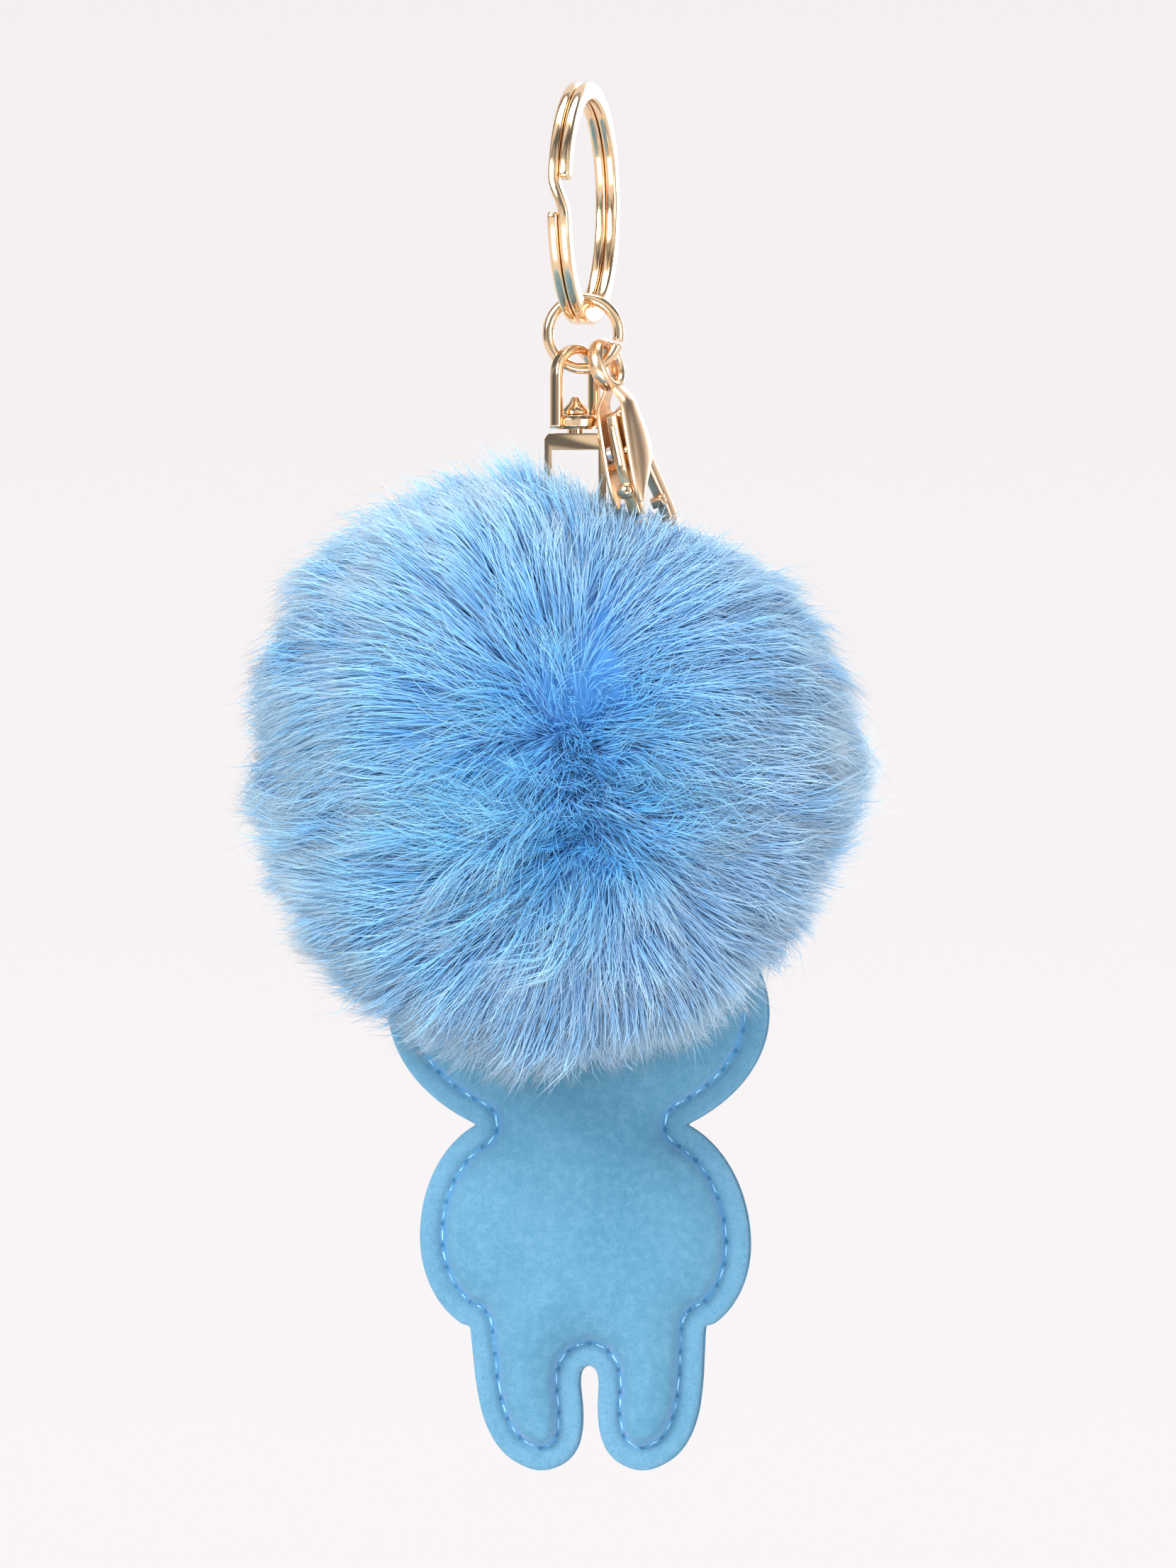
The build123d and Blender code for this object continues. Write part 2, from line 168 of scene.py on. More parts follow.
def polish_group():
    """Fine wear of plated metal: a roughness from one noise, a darker tone in the same soft patches, and hairline
    marks as a height.
    """
    group = bpy.data.node_groups.new("polish_wear", "ShaderNodeTree")
    for socket, value in (("Base Roughness", 0.1), ("Wear", 0.5)):
        made = group.interface.new_socket(name=socket, in_out="INPUT", socket_type="NodeSocketFloat")
        made.default_value = value
    for socket in ("Roughness", "Tone", "Height"):
        group.interface.new_socket(name=socket, in_out="OUTPUT", socket_type="NodeSocketFloat")
    nodes, link = group.nodes, group.links.new
    inside, out = nodes.new("NodeGroupInput"), nodes.new("NodeGroupOutput")
    place = added(nodes, "TexCoord").outputs["Object"]
    patches = added(nodes, "TexNoise", Scale=260, Detail=4, Vector=place)
    stretch = added(nodes, "Mapping", Vector=place)
    stretch.inputs["Scale"].default_value = (1, 1, 0.12)
    hairlines = added(nodes, "TexNoise", Scale=2600, Detail=2, Vector=stretch.outputs["Vector"])
    worn = added(nodes, "Math", operation="MULTIPLY", _0=patches.outputs["Fac"], _1=inside.outputs["Wear"])
    spread = added(nodes, "Math", operation="MULTIPLY_ADD", _0=worn.outputs[0], _1=0.22)
    link(inside.outputs["Base Roughness"], spread.inputs[2])
    link(spread.outputs[0], out.inputs["Roughness"])
    link(worn.outputs[0], out.inputs["Tone"])
    link(hairlines.outputs["Fac"], out.inputs["Height"])
    return group


polish_wear = polish_group()


def metal(name, colour, worn_colour, roughness, wear, bump=0.00001):
    """Plated metal: its colour, a worn tone in soft patches, and fine marks in the polish."""
    material = bpy.data.materials.new(name)
    material.use_nodes = True
    nodes, link = material.node_tree.nodes, material.node_tree.links.new
    shader = nodes["Principled BSDF"]
    shader.inputs["Metallic"].default_value = 1.0
    group = nodes.new("ShaderNodeGroup")
    group.node_tree = polish_wear
    group.inputs["Base Roughness"].default_value = roughness
    group.inputs["Wear"].default_value = wear
    tone = added(nodes, "Mix", data_type="RGBA", A=colour, B=worn_colour, Factor=group.outputs["Tone"])
    lift = added(nodes, "Bump", Strength=0.12, Distance=bump, Height=group.outputs["Height"])
    link(tone.outputs["Result"], shader.inputs["Base Color"])
    link(group.outputs["Roughness"], shader.inputs["Roughness"])
    link(lift.outputs["Normal"], shader.inputs["Normal"])
    return material


pale_gold = metal("pale_gold_plate", (0.93, 0.68, 0.43), (0.84, 0.56, 0.33), 0.07, 0.6)

strip_width = 2.3 * MM
strip_thickness = 1.32 * MM
strip_offset = 0.70 * MM
ring_turn = math.radians(12.5)
ring_low, ring_high = (np.array(c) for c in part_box("split_ring"))
ring_radius = (ring_high[2] - ring_low[2] - strip_width) / 2
ring_centre = (ring_low + ring_high) / 2
ring_axis = np.array([math.cos(ring_turn), -math.sin(ring_turn), 0])
ring_near = np.array([-math.sin(ring_turn), -math.cos(ring_turn), 0])
ring_down = np.array([0.0, 0.0, -1.0])

turn = np.radians(np.linspace(8.5, 711.5, 560))
slant = smooth_step((np.degrees(turn) - 350) / 20)
turn = turn - math.radians(3.5)
outward = np.cos(turn)[:, None] * ring_near + np.sin(turn)[:, None] * ring_down
side = (2 * slant - 1) * strip_offset
path = ring_centre + ring_radius * outward + side[:, None] * ring_axis
across = np.gradient(path, axis=0)
across /= np.linalg.norm(across, axis=1)[:, None]
flat_side = np.cross(across, outward)
end_scale = np.ones(len(turn))
end_scale[[0, -1]] = 0.82
split_ring = swept(
    "Split_ring", path, outward, flat_side, rounded(strip_width, strip_thickness, 0.42 * MM), scale=end_scale
)
finished(split_ring, pale_gold, "ring", "pale_gold", "split_ring")

# ---- jump ring ----
# Round wire bent into a loop that faces the front. Its cut ends almost meet, low on the right,
# and the swivel and the clasp both hang on it.
wire_radius = 0.7 * MM
jump_low, jump_high = (np.array(c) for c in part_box("jump_ring"))
jump_radius = (jump_high[2] - jump_low[2]) / 2 - wire_radius
jump_centre = np.array([0, 0, (jump_low[2] + jump_high[2]) / 2])
turn = np.radians(np.linspace(-14.7 + 2.4, -14.7 + 357.6, 200))
outward = np.stack([np.cos(turn), np.zeros_like(turn), np.sin(turn)], 1)
circle = np.linspace(0, 2 * math.pi, 20, endpoint=False)
wire = wire_radius * np.stack([np.cos(circle), np.sin(circle)], 1)
end_scale = np.ones(len(turn))
end_scale[[0, -1]] = 0.85
jump_ring = swept(
    "Jump_ring",
    jump_centre + jump_radius * outward,
    outward,
    np.tile([0.0, 1.0, 0.0], (len(turn), 1)),
    wire,
    scale=end_scale,
)
finished(jump_ring, pale_gold, "jump", "pale_gold", "jump_ring")

# ---- swivel bail ----
# Half-round strip bent into an arch over the jump ring. Its feet are soldered to a thick round
# base, and the rivet's neck turns in a hole through that base.
bail_low, bail_high = (np.array(c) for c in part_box("swivel_bail"))
rivet_low, rivet_high = (np.array(c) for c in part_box("swivel_rivet"))
swivel = (bail_low + bail_high) / 2
bail_turn = math.radians(45)
bail_way = np.array([math.cos(bail_turn), math.sin(bail_turn), 0])
bail_side = np.array([-math.sin(bail_turn), math.cos(bail_turn), 0])
arch_radius = 3.36 * MM
arch_top = bail_high[2] - 0.62 * MM
bail_foot = bail_low[2] + 0.1 * MM
spring_z = arch_top - arch_radius
leg = np.linspace(bail_foot, spring_z, 14, endpoint=False)
bend = np.linspace(math.pi, 0, 48)
arch_x = np.concatenate([np.full(14, -arch_radius), arch_radius * np.cos(bend), np.full(14, arch_radius)])
arch_z = np.concatenate([leg, spring_z + arch_radius * np.sin(bend), leg[::-1]])
centre = np.array([swivel[0], swivel[1], 0])
path = centre + arch_x[:, None] * bail_way + arch_z[:, None] * np.array([0, 0, 1.0])
across = np.gradient(path, axis=0)
across /= np.linalg.norm(across, axis=1)[:, None]
side = np.tile(bail_side, (len(path), 1))
bail_arch = swept("Swivel_bail_arch", path, np.cross(side, across), side, rounded(1.2 * MM, 1.66 * MM, 0.45 * MM))


def turned(name, profile, centre, steps=64):
    """A profile of (radius, height) pairs turned about the upright line through centre.
    A first or last radius of 0 becomes one point, and otherwise the profile is a closed loop."""
    angle = np.linspace(0, 2 * math.pi, steps, endpoint=False)
    radius, height = np.array(profile, float).T
    poled = radius[0] == 0
    ring_r, ring_h = (radius[1:-1], height[1:-1]) if poled else (radius, height)
    points = np.stack(
        [
            centre[0] + ring_r[:, None] * np.cos(angle),
            centre[1] + ring_r[:, None] * np.sin(angle),
            np.repeat(ring_h[:, None], steps, 1),
        ],
        2,
    ).reshape(-1, 3)
    faces = [grid_faces(len(ring_r), steps, wrap_rows=not poled, wrap_columns=True)]
    if poled:
        ends = [[centre[0], centre[1], height[0]], [centre[0], centre[1], height[-1]]]
        count = len(points)
        points = np.vstack([points, ends])
        j = np.arange(steps)
        last = (len(ring_r) - 1) * steps
        faces.append(np.stack([np.full(steps, count), (j + 1) % steps, j], 1))
        faces.append(np.stack([np.full(steps, count + 1), last + j, last + (j + 1) % steps], 1))
    piece = new_piece(name, points, faces)
    recalculate(piece)
    return piece


def bevelled(piece, width, segments=3):
    """Round the sharp edges of a piece, with hardened normals."""
    bevel = piece.modifiers.new("edges", "BEVEL")
    bevel.width = width
    bevel.segments = segments
    bevel.limit_method = "ANGLE"
    bevel.angle_limit = math.radians(35)
    bevel.harden_normals = True


base_low = bail_low[2]
base_high = base_low + 1.8 * MM
hole = 1.08 * MM
bail_base = turned(
    "Swivel_base",
    [
        (hole, base_low),
        (2.35 * MM, base_low),
        (2.75 * MM, base_low + 0.35 * MM),
        (2.86 * MM, base_high - 0.55 * MM),
        (2.62 * MM, base_high - 0.1 * MM),
        (2.3 * MM, base_high),
        (hole, base_high),
    ],
    swivel,
)
bevelled(bail_base, 0.08 * MM)
finished(bail_arch, pale_gold, "bail", "pale_gold", "swivel_bail")
finished(bail_base, pale_gold, "bail", "pale_gold")

# ---- swivel rivet ----
# Turned rivet: a cone head with a small button on top, and a neck that is peened into the frame.
head = rivet_high[2] - 1.6 * MM
rivet = turned(
    "Swivel_rivet",
    [
        (0, head + 2.25 * MM),
        (0.35 * MM, head + 2.2 * MM),
        (0.55 * MM, head + 2.0 * MM),
        (0.62 * MM, head + 1.75 * MM),
        (1.0 * MM, head + 1.3 * MM),
        (1.72 * MM, head + 0.55 * MM),
        (1.8 * MM, head + 0.25 * MM),
        (1.7 * MM, head),
        (1.02 * MM, head - 0.04 * MM),
        (1.02 * MM, rivet_low[2] + 0.02 * MM),
        (0, rivet_low[2]),
    ],
    swivel,
)
bevelled(rivet, 0.06 * MM, 2)
finished(rivet, pale_gold, "swivel", "pale_gold", "swivel_rivet")

# ---- strap frame ----
# Die-cast rectangular loop. Its upper bar is thick where the rivet is set, and its lower bar is
# round for the strap.


def dressed_copy(node, name, width, material, body, slot):
    """A copy of a metal piece with its loose triangles joined, flats merged and edges rounded."""
    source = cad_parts[node]
    piece = bpy.data.objects.new(name, source.data.copy())
    bpy.context.scene.collection.objects.link(piece)
    bm = bmesh.new()
    bm.from_mesh(piece.data)
    bmesh.ops.remove_doubles(bm, verts=bm.verts, dist=2e-6)
    bmesh.ops.dissolve_limit(bm, angle_limit=math.radians(1.5), verts=bm.verts, edges=bm.edges)
    bmesh.ops.recalc_face_normals(bm, faces=bm.faces)
    for face in bm.faces:
        face.smooth = True
    bm.to_mesh(piece.data)
    bm.free()
    piece.data.materials.clear()
    bevelled(piece, width)
    return finished(piece, material, body, slot, node)


dressed_copy("strap_frame", "Strap_frame", 0.16 * MM, pale_gold, "swivel", "pale_gold")

# ---- lobster clasp ----
# Die-cast body with an eye, a forked hub and a hook, plated like the rings. The gate turns on a
# pressed pin inside the fork, and a torsion spring on the same pin holds it shut.
satin_gold = metal("satin_gold_plate", (0.9, 0.63, 0.41), (0.8, 0.52, 0.31), 0.2, 0.6)
pin_low, pin_high = (np.array(c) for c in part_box("clasp_pin"))
face_turn, tilt = math.radians(65), math.radians(-18)
u_way = np.array([math.cos(tilt) * math.cos(face_turn), math.sin(face_turn), -math.sin(tilt) * math.cos(face_turn)])
v_way = np.array([-math.cos(tilt) * math.sin(face_turn), math.cos(face_turn), math.sin(tilt) * math.sin(face_turn)])
w_way = np.array([math.sin(tilt), 0, math.cos(tilt)])
eye_centre = (pin_low + pin_high) / 2 + (3.9 * u_way + 11 * w_way) * MM


def in_clasp(u, v, w):
    """Points from the clasp's own axes: u across its plane, v through it and w up to its eye."""
    u, v, w = (x[..., None] * MM for x in np.broadcast_arrays(np.asarray(u, float), v, w))
    return eye_centre + u * u_way + v * v_way + w * w_way


def clasp_bar(name, path, profile, scale=None, closed=False):
    """Bar along a path in the clasp's plane, given as rows of u and w."""
    along = np.gradient(path, axis=0)
    if closed:
        along = np.roll(path, -1, axis=0) - np.roll(path, 1, axis=0)
    along /= np.linalg.norm(along, axis=1)[:, None]
    across = -along[:, 1, None] * u_way + along[:, 0, None] * w_way
    up = np.broadcast_to(v_way, across.shape)
    return swept(name, in_clasp(path[:, 0], 0.0, path[:, 1]), across, up, profile * MM, closed, scale)


def rounded_run(points, samples):
    """Catmull-Rom curve through a few points: each span is the cubic whose slope at a point is
    half the step from the point before it to the point after it."""
    p = np.vstack([2 * points[0] - points[1], points, 2 * points[-1] - points[-2]])
    t = np.linspace(0, 1, samples, endpoint=False)[None, :, None]
    a, b, c, d = (p[i : len(p) - 3 + i, None, :] for i in range(4))
    curve = 0.5 * (2 * b + (c - a) * t + (2 * a - 5 * b + 4 * c - d) * t**2 + (3 * b - a - 3 * c + d) * t**3)
    return np.vstack([curve.reshape(-1, 2), points[-1:]])


def cheek(name, side):
    """Domed cheek plate. At each height it spans from the left to the right edge; its inner face is
    flat, and its outer face bulges as the root of one minus the square of the place across."""
    w_at = [-2.2, -3.5, -5.0, -6.7, -9.2, -12.2, -14.6, -16.6, -17.8]
    left_at = [-1.2, -1.9, -2.8, -3.7, -4.7, -5.8, -6.5, -6.8, -6.7]
    right_at = [1.2, 0.9, 0.7, 0.8, 1.2, 0.6, -1.9, -4.7, -6.2]
    edges = rounded_run(np.stack([left_at, right_at], 1), 8)
    height = rounded_run(np.stack([w_at, w_at], 1), 8)[:, 0]
    drop = smooth_step((-2.2 - height) / 3.2)
    length = (height - height[0]) / (height[-1] - height[0])
    x = np.cos(np.linspace(0, math.pi, 19))
    dome = 0.12 + 0.75 * np.sin(math.pi * np.clip(length, 0.02, 0.98)) ** 0.6
    inner = 0.1 + 1.42 * drop
    outer = inner[:, None] + 0.3 + dome[:, None] * np.sqrt(1 - x**2)[None]
    u = edges.mean(1)[:, None] + np.diff(edges, axis=1) / 2 * x[None]
    flat_x = x[::-1][1:-1:3]
    flat_u = edges.mean(1)[:, None] + np.diff(edges, axis=1) / 2 * flat_x[None]
    loop_u = np.hstack([u, flat_u])
    loop_v = side * np.hstack([outer, np.broadcast_to(inner[:, None], flat_u.shape)])
    rows, columns = loop_u.shape
    points = in_clasp(loop_u, loop_v, height[:, None]).reshape(-1, 3)
    caps = np.array([np.arange(columns)[::-1], (rows - 1) * columns + np.arange(columns)])
    piece = new_piece(name, points, [grid_faces(rows, columns, wrap_columns=True), caps])
    recalculate(piece)
    bevelled(piece, 0.1 * MM)
    return piece


around = np.linspace(0, 2 * math.pi, 96, endpoint=False)
ring_path = 2.78 * np.stack([np.cos(around), np.sin(around)], 1)
round_section = np.stack([0.68 * np.cos(around[::4]), 1.05 * np.sin(around[::4])], 1)
clasp_eye = clasp_bar("Clasp_eye", ring_path, round_section, closed=True)
hook_angle = np.linspace(0.1, -math.pi + 0.02, 12)[1:]
hook_path = np.stack([-0.4 + 4.5 * np.cos(hook_angle), -19.8 + 4.5 * np.sin(hook_angle)], 1)
spine_path = [(0.6, -5.6), (1.5, -8.6), (2.3, -12.0), (3.1, -15.5), (3.8, -18.4)]
spine_run = rounded_run(np.vstack([spine_path, hook_path]), 5)
clasp_spine = clasp_bar("Clasp_spine_and_hook", spine_run, rounded(2.1, 1.5, 0.35))
web_run = rounded_run(np.array([(0.1, -5.9), (0.3, -8.5), (0.4, -11.0), (-0.4, -13.4)]), 8)
clasp_web = clasp_bar("Clasp_web", web_run, rounded(1.0, 3.3, 0.2))
lip_run = np.array([(2.2, -17.7), (2.35, -18.3), (2.5, -18.9)])
clasp_lip = clasp_bar("Clasp_lip", lip_run, rounded(1.5, 1.7, 0.25))
near_cheek, far_cheek = cheek("Clasp_cheek_near", -1), cheek("Clasp_cheek_far", 1)
for piece in (clasp_eye, clasp_spine, clasp_web, clasp_lip, far_cheek):
    finished(piece, satin_gold, "clasp", "pale_gold")
finished(near_cheek, satin_gold, "clasp", "pale_gold", "clasp_body")
gate_path = [(-2.6, -6.4), (-3.4, -8.6), (-4.0, -11.0), (-4.6, -13.4), (-4.9, -16.5), (-4.9, -19.3)]
gate_run = rounded_run(np.array(gate_path), 6)
gate_lever = clasp_bar("Gate_lever", gate_run, rounded(1.7, 1.6, 0.3))
rib_run = gate_run[3:18] - [0.75, 0]
gate_rib = clasp_bar("Gate_rib", rib_run, rounded(0.7, 0.8, 0.2))
knob_turn = np.linspace(-math.pi / 2, math.pi / 2, 13)
knob_path = np.stack([np.full(13, -6.3), -15.9 + 1.0 * np.sin(knob_turn)], 1)
knob_run = np.clip(np.cos(knob_turn), 0.05, 1)
gate_knob = clasp_bar("Gate_knob", knob_path, round_section / 0.9, scale=knob_run)
finished(gate_lever, pale_gold, "gate", "pale_gold", "clasp_gate")
for piece in (gate_rib, gate_knob):
    finished(piece, pale_gold, "gate", "pale_gold")
dressed_copy("clasp_pin", "Clasp_pin", 0.1 * MM, pale_gold, "clasp", "pale_gold")
spring_steel = metal("spring_steel", (0.6, 0.6, 0.62), (0.45, 0.44, 0.43), 0.25, 0.5)
dress(spring_steel, "clasp_spring")

# ---- hanging strap, anchor and gather cord ----
# White polyester tape folded round the frame's lower bar. Its ends go into the ball, where a
# bar is sewn across them, and a drawstring gathers the cloth round it.


def cloth(name, colour, other, weave, roughness=0.85, sheen=0.3, bump=0.00004):
    """Woven or felted cloth: two close tones in a fine noise at the weave's scale, with a soft nap."""
    material = bpy.data.materials.new(name)
    material.use_nodes = True
    nodes, link = material.node_tree.nodes, material.node_tree.links.new
    shader = nodes["Principled BSDF"]
    shader.inputs["Roughness"].default_value = roughness
    shader.inputs["Sheen Weight"].default_value = sheen
    shader.inputs["Sheen Roughness"].default_value = 0.5
    place = added(nodes, "TexCoord").outputs["Object"]
    threads = added(nodes, "TexNoise", Scale=weave, Detail=5, Vector=place)
    tone = added(nodes, "Mix", data_type="RGBA", A=colour, B=other, Factor=threads.outputs["Fac"])
    lift = added(nodes, "Bump", Strength=0.5, Distance=bump, Height=threads.outputs["Fac"])
    link(tone.outputs["Result"], shader.inputs["Base Color"])
    link(lift.outputs["Normal"], shader.inputs["Normal"])
    return material


white_tape = cloth("white_tape", (0.82, 0.84, 0.9), (0.66, 0.7, 0.8), 3000)
dress(white_tape, "hanging_strap", "strap_anchor", "gather_cord")

# ---- fur ball ----
# Stuffed ball in a knitted cover with long faux-fur pile. The pile is combed away from a parting
# on the front, and lies in curved locks that are dark at the root and pale at the tip.
filling = cloth("polyester_filling", (0.85, 0.85, 0.83), (0.7, 0.7, 0.68), 900, bump=0.0002)
dress(filling, "ball_stuffing")
knit = cloth("knitted_backing", (0.12, 0.3, 0.62), (0.07, 0.2, 0.48), 1600)
dress(knit, "fur_backing")

backing_low, backing_high = (np.array(c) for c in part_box("fur_backing"))
ball_centre = (backing_low + backing_high) / 2
parting = np.array([5.2 * MM, -36 * MM, -4.5 * MM])
parting /= np.linalg.norm(parting)
parting_side = np.cross(parting, [0.0, 0.0, 1.0])
parting_side /= np.linalg.norm(parting_side)
parting_up = np.cross(parting_side, parting)


def ball_way(theta, alpha):
    """Unit vector at angle theta from the parting, turned by alpha about it."""
    ring = np.cos(alpha)[..., None] * parting_side + np.sin(alpha)[..., None] * parting_up
    return np.cos(theta)[..., None] * parting + np.sin(theta)[..., None] * ring


def ball_reach(way):
    """Outer radius of the pile in a direction: round, but pressed flatter on the upper right by the clasp."""
    angle = np.arctan2(way[..., 2], way[..., 0])
    level = np.hypot(way[..., 0], way[..., 2])
    dent = np.exp(-(((angle - 1.16) / 0.52) ** 2))
    ripple = 0.5 * np.sin(3 * angle + 0.8) + 0.4 * np.sin(7 * angle + 2.0)
    return (38.6 - 4.6 * dent * level**2 + ripple * level) * MM


def soft_noise(points, seed, scale, waves=14):
    """Smooth random value near -1 to 1 at each point: a sum of sine waves in random directions."""
    chance = np.random.default_rng(seed)
    directions = chance.normal(size=(waves, 3)) * scale
    phase = chance.uniform(0, 2 * math.pi, waves)
    return np.sin(points @ directions.T + phase).sum(-1) / math.sqrt(waves)


doll_low, doll_high = (np.array(c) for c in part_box("doll_front_panel"))
head_centre = np.array([(doll_low[0] + doll_high[0]) / 2, doll_high[2] - 17.3 * MM])
head_front = doll_low[1]


def clear_of_head(points):
    """Press the pile forward, off the doll's head: y stays under the head's face inside its oval,
    and the limit eases away outside it."""
    oval = np.hypot((points[..., 0] - head_centre[0]) / 24.4, (points[..., 2] - head_centre[1]) / 17.7) / MM
    below = points[..., 2] < head_centre[1] - 5 * MM
    outside = np.maximum(np.where(below, np.minimum(oval, 1.0), oval) - 1, 0) * 20 * MM
    limit = head_front - 0.6 * MM + 6 * outside
    over = points[..., 1] - limit
    soft = 1.2 * MM
    pressed = limit - soft * np.log1p(np.exp(-np.clip(over / soft, -30, 30)))
    result = points.copy()
    result[..., 1] = np.where(over > -6 * soft, np.minimum(points[..., 1], pressed), points[..., 1])
    return result


strands_per_piece = 10000
strand_pieces = 10
strand_s = np.array([0, 0.4, 0.73, 1.0])
lock_count = 2600
chance = np.random.default_rng(7)
count = strand_pieces * strands_per_piece
# The roots are spread evenly over the ball by the golden-angle spiral, then shaken a little.
tuft_count = 11000
evenly = count - tuft_count
step = np.arange(count) + 0.5
theta = np.arccos(np.clip(1 - 2 * step / evenly, -1, 1)) + chance.normal(0, 0.012, count)
alpha = (step * math.pi * (3 - math.sqrt(5))) % (2 * math.pi) + chance.normal(0, 0.02, count)
# The last ones fill the parting with short tufts that stand up.
theta[evenly:] = 0.5 * np.sqrt(chance.random(tuft_count))
theta = np.clip(theta, 0.01, math.pi - 0.01)
is_tuft = np.arange(count) >= evenly
root_way = ball_way(theta, alpha)

lock_step = np.arange(lock_count) + 0.5
lock_theta = np.arccos(1 - 2 * lock_step / lock_count) + chance.normal(0, 0.03, lock_count)
lock_theta = np.clip(lock_theta, 0.02, math.pi - 0.02)
lock_alpha = (lock_step * math.pi * (3 - math.sqrt(5))) % (2 * math.pi)
lock_way = ball_way(lock_theta, lock_alpha)
near_parting = np.exp(-((lock_theta / 0.4) ** 2))
lock_sweep = chance.normal(0, 0.04, lock_count) + 0.05 * soft_noise(lock_way, 3, 3.2)
lock_sweep += 0.05 * soft_noise(lock_way, 13, 9.0)
lock_twist = chance.normal(0, 0.035, lock_count) + 0.05 * soft_noise(lock_way, 4, 2.6)
lock_twist += 0.03 * soft_noise(lock_way, 14, 8.0) + near_parting * chance.normal(0, 0.1, lock_count)
lock_length = chance.normal(0, 0.02, lock_count) + 0.03 * soft_noise(lock_way, 5, 14.0)
lock_tone = chance.normal(0, 1, lock_count)

tree = KDTree(lock_count)
for index, way in enumerate(lock_way):
    tree.insert(way, index)
tree.balance()
own_lock = np.array([tree.find(way)[1] for way in root_way])


def strand_paths(root_way, sweep, twist, length):
    """Points of strands: along s from 0 to 1 the angle from the nearest point of the parting line
    grows by the comb's sweep, the direction turns by the twist, and the radius rises and levels out."""
    s = strand_s
    line_up = np.array([-0.12, 0, 1.0])
    line_up -= parting * (line_up @ parting)
    line_up /= np.linalg.norm(line_up)
    lean = np.clip(np.arctan2(root_way @ line_up, root_way @ parting), -0.26, 0.26)[:, None]
    centre = parting * np.cos(lean) + line_up * np.sin(lean)
    cosine = np.clip((centre * root_way).sum(1), -1, 1)
    theta = np.arccos(cosine)
    away = root_way - centre * cosine[:, None]
    away /= np.linalg.norm(away, axis=1)[:, None] + 1e-9
    side = np.cross(centre, away)
    comb = 0.62 * (1 - 0.72 * (theta / math.pi)) * (1 - 0.8 * np.exp(-((theta / 0.22) ** 1.5))) + sweep
    comb = comb * smooth_step((math.pi - theta) / 0.7)
    angle = theta[:, None] + comb[:, None] * (0.35 * s + 0.65 * s**2)
    turn = (twist / np.maximum(np.sin(theta), 0.25))[:, None] * s**2
    swung = away[:, None] * np.cos(turn)[..., None] + side[:, None] * np.sin(turn)[..., None]
    way = centre[:, None] * np.cos(angle)[..., None] + swung * np.sin(angle)[..., None]
    tip = ball_reach(way[:, -1]) * (1 - 0.19 * np.exp(-((theta / 0.38) ** 2))) * (1 + length)
    root = 26.0 * MM
    radius = root + (tip - root)[:, None] * (1 - (1 - s) ** 1.35)
    droop = 1.4 * MM * (s**2)[None, :, None] * np.array([0, 0, -1.0])
    return ball_centre + radius[..., None] * way + droop


tuft_lean = np.where(is_tuft, chance.normal(-0.22, 0.08, count), 0)
tuft_trim = np.where(is_tuft, chance.uniform(-0.14, -0.03, count), 0)
own_paths = strand_paths(
    root_way,
    lock_sweep[own_lock] + chance.normal(0, 0.05, count) + tuft_lean,
    lock_twist[own_lock] + chance.normal(0, 0.04, count),
    lock_length[own_lock] + chance.normal(0, 0.035, count) + tuft_trim,
)
lock_paths = strand_paths(lock_way, lock_sweep, lock_twist, lock_length)
s = strand_s
gather = (0.5 * s**1.4)[None, :, None] * (chance.uniform(0.35, 1.1, count) * (1 - 0.75 * is_tuft))[:, None, None]
strands = own_paths * (1 - gather) + lock_paths[own_lock] * gather
strays = chance.random(count) < 0.05
strands[strays] += (chance.normal(0, 1.6 * MM, (count, 1, 3)) * (s**2)[None, :, None])[strays]
strands = clear_of_head(strands)


